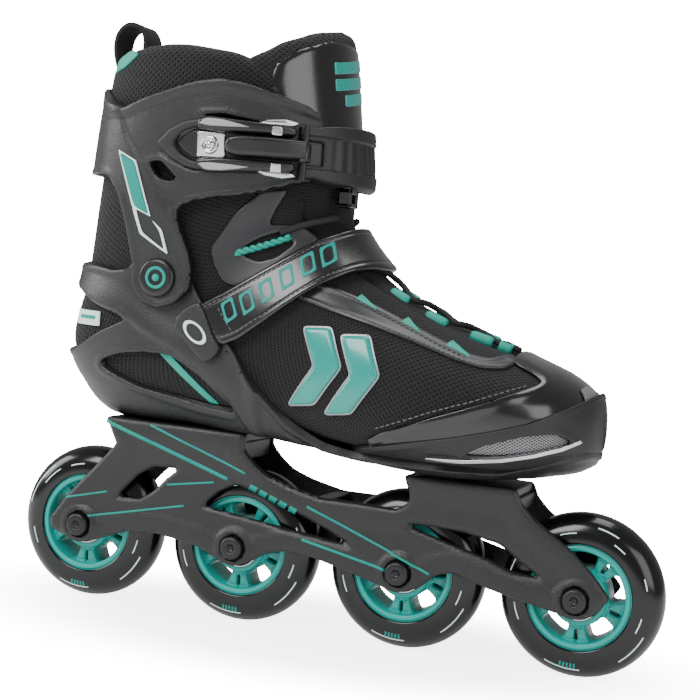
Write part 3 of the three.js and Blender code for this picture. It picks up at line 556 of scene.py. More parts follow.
def skin(offset, first=0):
    """The sheet at a height above the last: u counts rows from the toe, v goes round."""
    def place(u, v, height):
        u = np.asarray(u, float) + first
        k = np.interp(u, np.arange(boot_rows), row_k)
        i = np.clip(np.floor(u).astype(int), 0, boot_rows - 2)
        j = np.floor(v).astype(int)
        f, g, lap = u - i, v - j, 2 * np.pi * (j // boot_columns)
        j = j % boot_columns
        turn = ((1 - f) * ((1 - g) * turn_table[i, j] + g * turn_table[i, j + 1])
                + f * ((1 - g) * turn_table[i + 1, j] + g * turn_table[i + 1, j + 1])) + lap
        return boot_point(k, 2 * np.pi - turn, offset + height)
    return place


def soft_edge(depth, radius):
    """0 at an edge, 1 from radius inwards, along a quarter circle."""
    return np.sqrt(np.clip(1 - (1 - np.clip(depth / radius, 0, 1)) ** 2, 0, 1))


def skin_piece(name, distance, base, top, material, body, ks=(0, 15), bevel=0.5, replaces=(),
               bottom=0.0):
    """A piece that lies on the boot: its bottom is at height base over the last and its top at
    base plus top, a number or a function of place and distance from the edge."""
    first = max(0, int(np.searchsorted(row_k, ks[0])) - 2)
    last = min(boot_rows, int(np.searchsorted(row_k, ks[1])) + 3)
    height = top if callable(top) else (lambda points, depth: top)
    points, faces, uv = relief(last - first, boot_columns, skin(base, first), distance, height, bottom,
                               wrap=True)
    uv = (uv + [first, 0]) * cell / 1000
    return piece(name, there(points), faces, material, body, uv=uv, bevel=bevel, replaces=replaces)


knit, knit_in, knit_out = group(
    "open_knit", [("Vector", "NodeSocketVector"), ("Holes", "NodeSocketFloat")],
    [("Height", "NodeSocketFloat"), ("Hole", "NodeSocketFloat"), ("Yarn", "NodeSocketFloat")])
turned_cloth = put(knit, "ShaderNodeMapping", [("Vector", knit_in.outputs["Vector"])])
turned_cloth.inputs["Rotation"].default_value = (0, 0, np.radians(45))
cells = put(knit, "ShaderNodeTexVoronoi", [("Vector", turned_cloth.outputs[0]),
                                           ("Scale", knit_in.outputs["Holes"]), ("Randomness", 0.06)],
            voronoi_dimensions="2D")
hole = put(knit, "ShaderNodeMapRange", [("Value", cells.outputs["Distance"]), ("From Min", 0.16),
                                        ("From Max", 0.40), ("To Min", 1.0), ("To Max", 0.0)])
twist = put(knit, "ShaderNodeTexWave", [("Vector", knit_in.outputs["Vector"]), ("Scale", 420.0),
                                        ("Distortion", 1.5), ("Detail", 1.0)])
yarn = put(knit, "ShaderNodeMath", [(0, twist.outputs["Fac"]), (1, 0.00010)], operation="MULTIPLY")
dip = put(knit, "ShaderNodeMath", [(0, hole.outputs[0]), (1, -0.00055)], operation="MULTIPLY")
sum_up = put(knit, "ShaderNodeMath", [(0, yarn.outputs[0]), (1, dip.outputs[0])], operation="ADD")
knit.links.new(sum_up.outputs[0], knit_out.inputs["Height"])
knit.links.new(hole.outputs[0], knit_out.inputs["Hole"])
knit.links.new(twist.outputs["Fac"], knit_out.inputs["Yarn"])


def cloth(name, yarn_colour, hole_colour, holes):
    """Spacer mesh: yarn round rows of holes, matt with a soft sheen, on the piece's own map."""
    material = bpy.data.materials.new(name)
    material.use_nodes = True
    tree = material.node_tree
    shader = tree.nodes["Principled BSDF"]
    shader.inputs["Roughness"].default_value = 0.8
    shader.inputs["Specular IOR Level"].default_value = 0.2
    shader.inputs["Sheen Weight"].default_value = 0.06
    shader.inputs["Sheen Roughness"].default_value = 0.5
    where = put(tree, "ShaderNodeUVMap", uv_map="surface")
    made = put(tree, "ShaderNodeGroup", node_tree=knit)
    tree.links.new(where.outputs[0], made.inputs["Vector"])
    made.inputs["Holes"].default_value = holes
    dark = [c * 0.7 for c in yarn_colour]
    thread = put(tree, "ShaderNodeMix", [("Factor", made.outputs["Yarn"]), (6, (*dark, 1)),
                                         (7, (*yarn_colour, 1))], data_type="RGBA")
    colour = put(tree, "ShaderNodeMix", [("Factor", made.outputs["Hole"]), (6, thread.outputs[2]),
                                         (7, (*hole_colour, 1))], data_type="RGBA")
    tree.links.new(colour.outputs[2], shader.inputs["Base Color"])
    bump = put(tree, "ShaderNodeBump", [("Height", made.outputs["Height"]), ("Distance", 1.0)])
    tree.links.new(bump.outputs[0], shader.inputs["Normal"])
    return material


mesh_look = cloth("spacer_mesh", (0.014, 0.014, 0.015), (0.0005, 0.0005, 0.0005), 420)
collar_top = [(-60, 280), (-8, 276), (4, 279), (13, 282.5), (26, 287.5), (40, 289.5), (52, 289.5),
              (76, 286.5), (91, 280), (102, 272), (112, 262), (118, 250), (119, 238), (104, 226),
              (108, 212), (122, 204), (150, 200)]
upper_outline = collar_top + [(300, 200), (300, 60), (-60, 60)]
throat_plan = [(96, -21), (120, -19), (150, -15.5), (200, -11.5), (226, -6), (232, 1), (226, 8), (200, 15),
               (150, 17), (120, 19), (96, 21)]
upper_edge = rounded(upper_outline, 2.5)
throat_edge = rounded(throat_plan, 2.0)


def upper_cut(points):
    """Inside the sewn outline, and outside the throat seen from above."""
    throat = np.where(points[..., 2] > 128, inside(points[..., :2], throat_edge), -12)
    return np.minimum(inside(points[..., [0, 2]], upper_edge), -throat)


def upper_puff(points, depth):
    """Foam swells the collar, is stitched down along a seam, and rounds over at the edge."""
    x, z = points[..., 0], points[..., 2]
    collar = ease(z, 250, 262)
    seam = np.exp(-((z - 254 - (x - 20) * 0.06) / 1.3) ** 2)
    edge = soft_edge(depth, 7.0)
    return 8 + collar * (3.2 * edge - 3.4 * (1 - edge)) - 0.9 * seam - 1.2 * (1 - soft_edge(depth, 2.5))


upper = skin_piece("mesh_upper", upper_cut, -8, upper_puff, mesh_look, "chassis",
                   replaces=("vamp", "collar"))
upper.parent = None
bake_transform(upper)


# ------------------------------------------------------------------ shell
# The outer shell is one moulding in satin charcoal nylon: a sole with flat mounting faces, a
# heel cup with a window on each side and a cut-out behind, and arms up to the cuff's pivots.
def side_cut(outline, *holes, radius=2.0, side=0, reach=0.0):
    """Distance inside an outline in the side view and outside its holes; side -1 keeps the
    outer side, 1 the inner, at least reach from the middle plane."""
    outer = rounded(outline, radius)
    others = [rounded(hole, 1.2, 1.0) for hole in holes]

    def distance(points):
        flat = points[..., [0, 2]]
        result = inside(flat, outer)
        for other in others:
            result = np.minimum(result, -inside(flat, other))
        if side:
            result = np.minimum(result, points[..., 1] * side - reach)
        return result
    return distance


def beside(points, line):
    """Signed distance in the side view to a line drawn from heel to toe, positive above it."""
    line = np.asarray(line, float)
    close = np.array([[line[-1, 0], 700], [line[0, 0], 700]])
    flat = points[..., [0, 2]]
    edge = np.concatenate([line, close])
    return inside(flat, rounded(edge, 0.8, 4.0) if len(line) < 3 else edge)


shell_look = finish("moulded_nylon", (0.0065, 0.0067, 0.0075), 0.40, size=1400, depth=0.00020, vary=0.55)
sole_floor = np.array([(-60, 112), (-20, 106), (-8, 102), (5, 99), (100, 99), (126, 97), (149, 92.5),
                       (160, 89), (232, 89), (246, 92.5), (259, 99.5), (268, 105), (290, 114)])
shell_rim = [(62, 173), (69, 163), (80, 151), (90, 140), (96, 132), (103, 124), (111, 116), (122, 108),
             (136, 100.5), (149, 98), (166, 98), (198, 98.5), (223, 99.5), (245, 105.5), (260, 113),
             (290, 122)]
shell_outline = shell_rim + [(290, 60), (-40, 60), (-40, 178), (-19, 178.5), (-4, 178), (8, 177), (19, 175.5),
                             (27, 177), (35, 186), (46, 190), (56, 187), (61, 180)]
heel_gap = [(-60, 168), (-9, 167), (2, 161), (7, 158), (23, 153), (27.5, 151), (24, 149.5), (12, 144),
            (5, 140), (-8, 133), (-60, 131)]
side_window = [(12, 127), (14, 130), (25, 134), (40, 136), (54, 136), (63, 132), (72, 127), (90, 113.5),
               (88, 112), (70, 113), (36, 118), (18, 124)]
shoulder = [(-60, 172), (-10, 168), (7, 160), (23, 155), (37, 147), (56, 139), (72, 131), (89, 118),
            (98, 104), (104, 90)]
front_groove = [(84, 150), (96, 136), (103, 128.5), (111, 120), (121, 111), (134, 104)]


def shell_form(points, depth):
    """A shoulder rises along the crease from heel to sole, and a groove follows the front rim."""
    crease = beside(points, shoulder)
    rise = 1.6 * ease(crease, -0.9, 0.9) * (1 - ease(crease, 3, 15))
    rim_line = beside(points, front_groove)
    along = (points[..., 0] > 84) & (points[..., 0] < 134)
    groove = np.where(along, 0.8 * np.exp(-((rim_line + 5.5) / 0.9) ** 2), 0)
    lip = 0.7 * np.exp(-((depth - 1.6) / 1.3) ** 2) * ease(points[..., 2], 104, 112)
    return 3.0 + rise - groove + lip


def shell_place(first):
    """The last grown by 0.3 mm, whose lower part is drawn down 4 mm and pressed flat on the
    frame's mounting faces."""
    ground = skin(0.3, first)

    def place(u, v, height):
        points = ground(u, v, height)
        floor = np.interp(points[..., 0], sole_floor[:, 0], sole_floor[:, 1])
        low = 1 - ease(points[..., 2] - floor, 4.5, 15)
        drawn = np.maximum(points[..., 2] - 4.2 * low, floor + 3.0 - np.clip(height, 0, 3.0))
        return np.concatenate([points[..., :2], drawn[..., None]], -1)
    return place


cut_shell = side_cut(shell_outline, heel_gap, side_window, radius=1.6)
points, faces, uv = relief(int(np.searchsorted(row_k, 12.2)), boot_columns, shell_place(0), cut_shell,
                           shell_form, 0.0, wrap=True)
piece("shell_moulding", there(points), faces, shell_look, "chassis", uv=uv * cell / 1000,
      bevel=0.7, replaces=("shell",))


# ------------------------------------------------------------------ toe: cap and bumper
# A glossy leatherette cap covers the toes. Below it a rubbery bumper wraps round the toe, with
# a vent of woven wire in each side and a bright lip under it.
cap_look = finish("glossy_leatherette", (0.004, 0.004, 0.0045), 0.2, coat=0.4, size=1500, depth=0.00005)
bumper_look = finish("soft_grained_rubber", (0.007, 0.007, 0.0075), 0.55, size=1300, depth=0.00012, vary=0.1)
bumper_top = [(146, 99), (152, 101), (166, 104.5), (179, 107.5), (204, 113), (223, 118), (240, 123),
              (252, 129), (262, 134.5), (290, 146)]
bumper_outline = bumper_top + [(290, 60), (246, 60), (146, 95)]
vent = [(209, 106), (218, 111), (236, 117), (249, 119), (255, 116), (252, 113), (241, 110), (224, 107)]


def bumper_form(points, depth):
    """Thicker towards the toe, with a raised welt round the vent and along its top."""
    welt = 0.7 * np.exp(-((depth - 1.5) / 1.2) ** 2)
    return 2.2 + 1.6 * ease(points[..., 0], 190, 262) + welt


skin_piece("toe_bumper_moulding", side_cut(bumper_outline, vent, radius=1.2), 0.3, bumper_form, bumper_look,
           "chassis", ks=(0, 8), bevel=0.5, replaces=("toe_bumper",))
cap_outline = [(160, 106), (169, 111), (181, 115.5), (194, 121), (213, 128), (227, 134), (236, 138),
               (240, 140.5), (236, 143), (224, 148), (222, 156), (240, 160), (290, 160), (290, 60),
               (160, 60)]


def cap_form(points, depth):
    """A thin cap, turned under at its rear edge."""
    return 1.5 + 0.5 * np.exp(-((depth - 2.2) / 1.5) ** 2)


skin_piece("toe_cap_leather", side_cut(cap_outline, radius=1.5), 0.3, cap_form, cap_look, "chassis",
           ks=(0, 8), bevel=0.5, replaces=("toe_cap",))


# ------------------------------------------------------------------ cuff
# The cuff is a second moulding that wraps the ankle, with a shoulder where the arm joins it,
# a raised upper lip, and recesses on its outer face. It leans about a pivot on each side.
cuff_outline = [(47, 158.5), (56, 161.5), (63, 168.5), (63.5, 177), (61, 187), (57, 196), (53.5, 205),
                (55, 209), (61, 212), (73, 215), (87, 217), (97, 220), (111, 225), (119, 226.5),
                (120.5, 240), (119, 252), (116, 258), (111, 262.5), (104, 265), (95, 267.5), (85, 270.5),
                (73, 272), (61, 270), (48, 265.5), (35, 261), (23, 256), (12, 260), (-3, 268.5), (-30, 271),
                (-30, 223), (4, 223.5), (15, 223), (22, 214), (27, 200), (30, 188), (32.5, 178),
                (32.5, 169), (38, 162)]
cuff_gap = [(38, 230), (45, 231), (54, 222.5), (50, 221), (43, 223)]
lip_slit = [(65, 254), (76, 255), (91, 252.5), (97, 252), (86, 250.5), (70, 251.5)]
almond = rounded([(44, 235), (47, 241), (56, 244), (62, 248), (68, 250), (73, 244), (67, 227), (61, 227),
                  (53, 230)],
                 1.5)
cuff_lip = [(-60, 262), (-4, 260), (14, 252), (24, 252), (41, 259), (57, 264), (73, 266.5), (86, 264.5),
            (98, 261.5), (113, 257), (140, 250)]
arm_ridge = rounded([(18, 262), (22, 251), (25, 243), (32, 233), (39, 222), (46, 212), (53, 203), (62, 190),
                     (64, 176), (60, 155), (20, 150), (-40, 200), (-40, 262)], 1.5)


def cuff_form(points, depth):
    """The arm and back stand 1.2 mm prouder than the band, and the lip rolls out along the top."""
    arm = 1.2 * ease(inside(points[..., [0, 2]], arm_ridge), -1.2, 1.2)
    lip = 1.5 * ease(beside(points, cuff_lip), -0.8, 1.5)
    dish = 1.6 * ease(inside(points[..., [0, 2]], almond), -0.5, 1.0) * (points[..., 1] < 0)
    behind = ease(-points[..., 0], -16, 2)
    bead = 0.5 * np.exp(-((depth - 1.5) / 1.2) ** 2)
    return 3.1 + (arm + lip) * (1 - 0.8 * behind) - dish - 1.1 * behind + bead


skin_piece("cuff_moulding", side_cut(cuff_outline, cuff_gap, lip_slit, radius=1.4), 3.6, cuff_form,
           shell_look, "cuff_assembly", ks=(7, 15), bevel=0.7, replaces=("cuff",))


# ------------------------------------------------------------------ pivot badges
# A snap cap over each cuff pivot: a black disc with a turquoise ring and dot printed on it.
pivot_x, pivot_z = 46.0, 173.2
badge_look = finish("smooth_black_cap", (0.006, 0.006, 0.0065), 0.3, size=1500, depth=0.00002)
for label, node in (("outer", "cuff_pivot_outer_side"), ("inner", "cuff_pivot_inner_side")):
    sign = -1 if label == "outer" else 1
    low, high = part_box(node)
    face = (-low.y if sign < 0 else high.y) * 1000
    rim = [(0, face - 6), (4.4, face - 6), (4.4, face - 2.4), (9.3, face - 2.4), (9.6, face - 1.2),
           (9.0, face - 0.1), (8.2, face + 0.3), (6.2, face + 0.1), (0, face + 0.1)]
    points, faces = turned([(r, sign * y) for r, y in rim], (pivot_x, pivot_z), 64)
    piece(f"pivot_cap_{label}", points, faces, badge_look, "chassis", replaces=(node,))
    for part, r0, r1 in (("ring", 4.0, 5.6), ("dot", 0.0, 1.9)):
        flat = [(r0, face), (r1, face), (r1, face + 0.28), (r0, face + 0.28)]
        points, faces = turned([(r, sign * y) for r, y in flat], (pivot_x, pivot_z), 48)
        piece(f"pivot_{part}_{label}", points, faces, teal_print, "chassis")


# ------------------------------------------------------------------ frame
# The frame is one moulding of glass-filled nylon: two walls with cut windows, decks under heel
# and forefoot, and ribs across. Its outer wall carries fine printed lines.
def block(name, low, high, material, body, bevel=0.6, replaces=()):
    """A rounded block between two corners, in millimetres from the rear axle and the ground."""
    (x0, y0, z0), (x1, y1, z1) = low, high
    corners = [(x, y, z) for x in (x0, x1) for y in (y0, y1) for z in (z0, z1)]
    faces = [(0, 1, 3, 2), (4, 6, 7, 5), (0, 4, 5, 1), (2, 3, 7, 6), (0, 2, 6, 4), (1, 5, 7, 3)]
    return piece(name, there(corners), faces, material, body, bevel=bevel, replaces=replaces)


frame_look = finish("glass_filled_nylon", (0.0065, 0.0067, 0.0075), 0.42, size=1400, depth=0.00020, vary=0.55)
wall_outline = [(11, 98.7), (18, 85), (4, 69), (-10, 53), (-18, 41), (-17, 36), (-12, 34), (0, 30.4),
                (10, 33), (27, 39.7), (45, 41), (67, 38), (79, 33), (88, 30.6), (96, 33), (105, 39),
                (115, 42), (131, 41), (149, 37), (168, 32), (176, 30.4), (187, 34), (195, 41.6), (203, 44),
                (221, 39), (241, 35), (264, 30.9), (274, 34), (280, 43), (270, 54), (259, 63.5), (240, 76),
                (234, 82), (231, 88.7), (174.6, 88.7), (178, 80), (178, 75), (172, 71), (152, 71.6),
                (132, 71.4), (115, 75), (103, 79), (96, 84), (90, 90),
                (90, 98.7)]
wall_windows = [[(20, 57), (24, 62), (31, 70), (39, 75), (54, 76), (47, 70), (42, 64), (34, 58)],
                [(69, 59), (77, 67), (86, 72), (99, 69), (117, 63), (136, 56), (150, 50), (112, 54)],
                [(177, 64), (190, 65), (208, 64), (225, 61), (242, 50), (247, 48), (232, 49), (221, 53)]]
wall_edge = rounded(wall_outline, 1.1, 1.0)
window_edges = [rounded(window, 1.0, 1.0) for window in wall_windows]
wall_base = 16.6


def upright(x0, z0, step, side, face):
    """A flat sheet across the width: u along the frame, v up, height away from the middle."""
    def place(u, v, height):
        x = x0 + u * step if side < 0 else x0 - u * step
        z = z0 + v * step
        return np.stack([x, side * (face(x, z) + height), z], -1)
    return place


def wall_cut(points):
    """Inside the wall's outline, outside its windows and the axle holes."""
    flat = points[..., [0, 2]]
    result = inside(flat, wall_edge)
    for window in window_edges:
        result = np.minimum(result, -inside(flat, window))
    return result


def wall_form(points, depth):
    """Edges bevelled over 3 mm, a boss round each axle, and a shallow dish along the middle."""
    x, z = points[..., 0], points[..., 2]
    axles = np.min([np.hypot(x - n * pitch, z - wheel_radius) for n in range(4)], axis=0)
    boss = ease(-axles, -11.5, -8.5)
    pocket = ease(-axles, -6.8, -6.3)
    dish = 0.9 * ease(inside(points[..., [0, 2]], wall_edge), 7, 13)
    return (3.5 - 1.5 * (1 - soft_edge(depth, 3.4)) * (1 - boss) + 0.9 * boss - 1.6 * pocket
            - dish * (1 - boss))


def flare(x, z):
    """The walls lean out towards the decks."""
    return wall_base + 1.8 * ease(z, 72, 92)


def flat_piece(name, place, size, distance, top, material, body, bevel=0.4, replaces=()):
    """A piece cut from a flat sheet; size is its rows and columns."""
    height = top if callable(top) else (lambda points, depth: top)
    points, faces, uv = relief(*size, place, distance, height, 0.0)
    return piece(name, there(points), faces, material, body, uv=uv / 1000, bevel=bevel,
                 replaces=replaces)


for label, side, x0 in (("outer", -1, -22.0), ("inner", 1, 284.0)):
    flat_piece(f"frame_wall_{label}", upright(x0, 27.0, 1.2, side, flare), (256, 62), wall_cut, wall_form,
               frame_look, "chassis", replaces=("frame",) if side < 0 else ())
for name, low, high in (("rear_deck", (11.5, -18, 93.9), (89.5, 18, 98.7)),
                        ("front_deck", (175, -18, 83.9), (230.8, 18, 88.7)),
                        ("middle_rib", (128, -17.5, 63), (136, 17.5, 71)),
                        ("front_pillar", (226, -17.5, 77), (232.5, 17.5, 84.2)),
                        ("rear_rib", (16, -17.5, 86), (20, 17.5, 94.1)),
                        ("bridge_rib", (84, -17.5, 84.5), (89, 17.5, 94.1)),
                        ("front_rib", (178, -17.5, 76), (182, 17.5, 84.1))):
    block(f"frame_{name}", low, high, frame_look, "chassis", bevel=1.0)
lines = [([(-9.3, 53.0), (14.5, 59.1)], 0.5), ([(4.0, 44.8), (58.8, 57.5)], 0.5),
         ([(11.6, 96.4), (81.6, 74.3)], 1.0),
         ([(37.3, 97.1), (91.6, 78.5)], 0.6), ([(126, 66.3), (166, 51.7), (192.0, 41.9)], 0.6),
         ([(48.4, 67.1), (74.4, 71.7)], 0.5), ([(124.7, 49.5), (167.2, 41.2), (180.1, 37.7)], 0.7)]


def band(line, half):
    """The outline of a line drawn half a width to each side."""
    line = np.asarray(line, float)
    way = np.gradient(line, axis=0)
    across = np.stack([-way[:, 1], way[:, 0]], 1) / np.linalg.norm(way, axis=1)[:, None] * half
    return np.concatenate([line + across, (line - across)[::-1]])


stripes = [band(line, half) for line, half in lines]
stripes += [np.array([(95 + 5.5 * n, 73.5 - 2 * n), (99 + 5.5 * n, 72.1 - 2 * n),
                      (97 + 5.5 * n, 69.1 - 2 * n),
                      (93 + 5.5 * n, 70.5 - 2 * n)]) for n in range(5)]
points_list, face_list, start = [], [], 0
for outline in stripes:
    # Each printed line is a thin strip laid on the wall, following its height.
    half = len(outline) // 2
    first, second = outline[:half], outline[half:][::-1]
    t = np.linspace(0, half - 1, 40)
    edge = [np.stack([np.interp(t, np.arange(half), e[:, i]) for i in range(2)], 1) for e in (first, second)]
    strip = np.stack([edge[0] * (1 - s) + edge[1] * s for s in (0, 0.5, 1)], 1).reshape(-1, 2)
    spots = np.stack([strip[:, 0], 0 * strip[:, 0], strip[:, 1]], -1)
    height = flare(spots[:, 0], spots[:, 2]) + wall_form(spots, np.maximum(wall_cut(spots), 0)) + 0.12
    points_list.append(np.stack([spots[:, 0], -height, spots[:, 2]], 1))
    strip_faces = grid_faces(40, 3) + start
    sample = points_list[-1]
    a, b, c = (sample[f - start] for f in strip_faces[0][:3])
    if np.cross(b - a, c - a)[1] > 0:
        strip_faces = strip_faces[:, ::-1]
    face_list += strip_faces.tolist()
    start += 120
piece("frame_printed_lines", there(np.concatenate(points_list)), face_list, teal_print, "chassis",
      sheet=0.16)


# ------------------------------------------------------------------ axles and frame bolts
# Each wheel runs on a black button-head bolt with a hex socket, and a hex nut inside. Two more
# bolts hold the frame under the boot.
bolt_look = finish("black_oxide", (0.017, 0.017, 0.019), 0.33, metallic=0.4, size=3500)
hexagon_turn = np.linspace(0, 2 * np.pi, 48, endpoint=False)
hexagon = np.cos(np.pi / 6) / np.cos((hexagon_turn % (np.pi / 3)) - np.pi / 6)


def bolt(head_face, far_end, centre, head, socket, shank):
    """Rings from the bottom of the hex socket, over the domed head and down the shank. Rings of
    the socket follow a hexagon: radius times cos 30 over cos of the angle from its flat."""
    rings = [(0, head_face + 1.6, 1), (socket, head_face + 1.6, 1), (socket, head_face + 0.1, 1),
             (socket + 0.5, head_face, 0), (head * 0.8, head_face + 0.05, 0), (head * 0.92, head_face + 0.35,
                                                                               0),
             (head * 0.98, head_face + 1.0, 0), (head, head_face + 2.1, 0), (head, head_face + 2.9, 0),
             (shank, head_face + 3.0, 0), (shank, far_end - 0.4, 0), (shank - 0.4, far_end, 0),
             (0, far_end, 0)]
    radius = np.array([r * (hexagon if six else np.ones(48)) for r, _, six in rings])
    along = np.array([y for _, y, _ in rings])
    points = np.stack([centre[0] + radius * np.cos(hexagon_turn), np.repeat(along[:, None], 48, 1),
                       centre[1] + radius * np.sin(hexagon_turn)], -1)
    return there(points.reshape(-1, 3)), grid_faces(len(rings), 48, wrap=True)


for number in range(4):
    name = f"wheel_{number + 1}"
    low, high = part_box(f"{name}_axle_bolt")
    points, faces = bolt(low.y * 1000, high.y * 1000, (number * pitch, wheel_radius), 5.9, 2.4, 3.95)
    piece(f"{name}_bolt", points, faces[:, ::-1].tolist(), bolt_look, "chassis",
          replaces=(f"{name}_axle_bolt",), bevel=0.0)
    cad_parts[f"{name}_axle_nut"].material_slots[0].material = bolt_look
for node in ("frame_bolt_rear", "frame_bolt_front"):
    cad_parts[node].material_slots[0].material = bolt_look


# ------------------------------------------------------------------ eyestays
# Two strips of smooth synthetic leather edge the throat. Each is turned under and stitched.
leather_look = finish("smooth_grey_leather", (0.016, 0.0165, 0.018), 0.36, size=1900, depth=0.00005,
                      vary=0.12)
thread_look = finish("grey_thread", (0.10, 0.10, 0.105), 0.7, size=4000, depth=0.00004)
sheets = {}


def window_of(distance, base, ks):
    """The rows and columns of the last that a piece reaches, with room to spare."""
    first = max(0, int(np.searchsorted(row_k, ks[0])) - 2)
    last = min(boot_rows, int(np.searchsorted(row_k, ks[1])) + 3)
    if base not in sheets:
        u, v = np.meshgrid(np.arange(0.0, boot_rows), np.arange(0.0, boot_columns), indexing="ij")
        sheets[base] = skin(base)(u, v, 0.0)
    near = distance(sheets[base][first:last]) > -2.5
    rows, columns = np.where(near.any(1))[0], np.where(near.any(0))[0]
    return first + rows[0] - 1, first + rows[-1] + 1, columns[0] - 1, columns[-1] + 1


def fine_piece(name, distance, base, top, material, body, slot, ks=(0, 15), detail=4, bevel=0.0, replaces=()):
    """Like skin_piece, on a grid detail times finer, for small pieces of one side."""
    u0, u1, v0, v1 = window_of(distance, base, ks)
    u0, u1 = max(u0, 0), min(u1, boot_rows - 1)
    sheet = skin(base)
    height = top if callable(top) else (lambda points, depth: top)
    points, faces, uv = relief((u1 - u0) * detail + 1, (v1 - v0) * detail + 1,
                               lambda u, v, h: sheet(u0 + u / detail, v0 + v / detail, h), distance, height,
                               0.0)
    uv = (uv / detail + [u0, v0]) * cell / 1000
    return piece(name, there(points), faces, material, body, uv=uv, bevel=bevel, replaces=replaces)


def trace(line, side, offset, step=0.5, ks=(0, 15)):
    """Rows and columns of the last under a line of the side view, found by the nearest grid
    corner and three Gauss-Newton steps."""
    line = np.asarray(line, float)
    lengths = np.concatenate([[0], np.cumsum(np.linalg.norm(np.diff(line, axis=0), axis=1))])
    even = np.linspace(0, lengths[-1], max(2, int(lengths[-1] / step)))
    aim = np.stack([np.interp(even, lengths, line[:, i]) for i in range(2)], 1)
    sheet = skin(offset)
    u, v = np.meshgrid(np.arange(0.0, boot_rows), np.arange(0.0, boot_columns), indexing="ij")
    u, v = u.ravel(), v.ravel()
    grid = sheet(u, v, 0.0)
    ok = (grid[:, 1] * side > 0.5) & (np.interp(u, np.arange(boot_rows), row_k) >= ks[0])
    u, v, grid = u[ok], v[ok], grid[ok][:, [0, 2]]
    nearest = np.array([np.argmin(((grid - a) ** 2).sum(1)) for a in aim])
    u, v = u[nearest], v[nearest]
    for _ in range(3):
        here = sheet(u, v, 0.0)[:, [0, 2]]
        du = (sheet(u + 0.05, v, 0.0)[:, [0, 2]] - here) / 0.05
        dv = (sheet(u, v + 0.05, 0.0)[:, [0, 2]] - here) / 0.05
        gap = aim - here
        det = du[:, 0] * dv[:, 1] - du[:, 1] * dv[:, 0]
        det = np.where(np.abs(det) < 0.15, 1e9, det)
        u = np.clip(u + np.clip((gap[:, 0] * dv[:, 1] - gap[:, 1] * dv[:, 0]) / det, -1, 1), 0,
                    boot_rows - 1.1)
        v = v + np.clip((du[:, 0] * gap[:, 1] - du[:, 1] * gap[:, 0]) / det, -1, 1)
    return u, v


def cable(path, radius, sides=10):
    """A round cord along a path: rings square to the path, its ends drawn to a point."""
    path = np.asarray(path, float)
    radius = np.broadcast_to(np.asarray(radius, float), len(path))
    way = np.gradient(path, axis=0)
    way /= np.linalg.norm(way, axis=1)[:, None]
    first = np.cross(way[0], [0.3, 0.2, 0.93])
    normals = [first / np.linalg.norm(first)]
    for direction in way[1:]:
        turned_on = normals[-1] - direction * (normals[-1] @ direction)
        normals.append(turned_on / np.linalg.norm(turned_on))
    normals = np.array(normals)
    sideways = np.cross(way, normals)
    turn = np.linspace(0, 2 * np.pi, sides, endpoint=False)[None, :, None]
    spokes = normals[:, None] * np.cos(turn) + sideways[:, None] * np.sin(turn)
    rings = path[:, None] + radius[:, None, None] * spokes
    tips = np.repeat(path[[0, -1], None], sides, 1)
    rings = np.concatenate([tips[:1], rings, tips[1:]])
    faces = grid_faces(len(path) + 2, sides, wrap=True)
    return rings.reshape(-1, 3), faces


def stitches(name, lines, side, offset, body, ks=(0, 15), pitch=3.4, length=2.3, radius=0.32, material=None,
             bends=False):
    """Rows of thread on the skin: each stitch is a short cord, thick in the middle."""
    points, faces, start = [], [], 0
    for line in lines:
        u, v = trace(line, side, offset, 0.25, ks)
        path = skin(offset)(u, v, 0.12)
        run = np.concatenate([[0], np.cumsum(np.linalg.norm(np.diff(path, axis=0), axis=1))])
        for at in np.arange(0.5, run[-1] - length, pitch):
            t = np.linspace(at, at + length, 5)
            bit = np.stack([np.interp(t, run, path[:, i]) for i in range(3)], 1)
            p, f = cable(bit, radius * np.array([0.5, 0.95, 1, 0.95, 0.5]), 6)
            points.append(p)
            faces.append(f + start)
            start += len(p)
    made = piece(name, there(np.concatenate(points)), np.concatenate(faces).tolist(), material or thread_look,
                 body)
    if bends:
        fold(made)
    return made


def fold(made):
    """Cloth that crosses the ankle is taken off its body and its place baked into its points, as the upper
    is.
    """
    made.parent = None
    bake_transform(made)
    return made


stay_low = [(116, 170), (126, 167.5), (135, 165), (157, 160), (179, 154), (200, 147.5), (212, 145),
            (222, 145.5)]
stay_high = [(123, 178.5), (135, 176), (150, 171.5), (171, 163.5), (190, 156), (206, 150.5), (214, 149.5),
             (220, 152), (226, 149)]


def stay_form(points, depth):
    """A folded edge stands a little prouder than the middle of the strip."""
    return 1.0 + 0.45 * np.exp(-((depth - 1.2) / 0.9) ** 2)


for label, side in (("outer", -1), ("inner", 1)):
    fine_piece(f"eyestay_{label}", side_cut(stay_low + stay_high[::-1], radius=1.2, side=side, reach=2.0),
               0.3, stay_form, leather_look, "chassis", "leatherette", ks=(1, 9), detail=2, bevel=0.3,
               replaces=(f"eyestay_{label}_side",))
    stitches(f"eyestay_thread_{label}", [[(x, z + 1.6) for x, z in stay_low[:-1]],
                                         [(x, z - 1.4) for x, z in stay_high[:6]]], side, 1.6, "chassis",
             ks=(1, 9), pitch=2.6, length=1.8, radius=0.25)
    cap_seam = [(166, 112), (181, 118), (194, 123.5), (213, 130.5), (227, 136.5), (234, 139.5)]
    stitches(f"cap_thread_{label}", [cap_seam], side, 2.3, "chassis", ks=(0, 8), pitch=3.0, length=2.1,
             radius=0.28)


# ------------------------------------------------------------------ laces
# A round black lace runs up the throat through turquoise webbing: flat loops sewn under the
# eyestays and short tubes in the middle of each crossing.
teal_thread = finish("turquoise_webbing", (0.0, 0.27, 0.205), 0.6, size=3000, depth=0.00012, vary=0.15)
black_cord = finish("braided_black_cord", (0.006, 0.006, 0.0065), 0.75, size=3400, depth=0.00025)


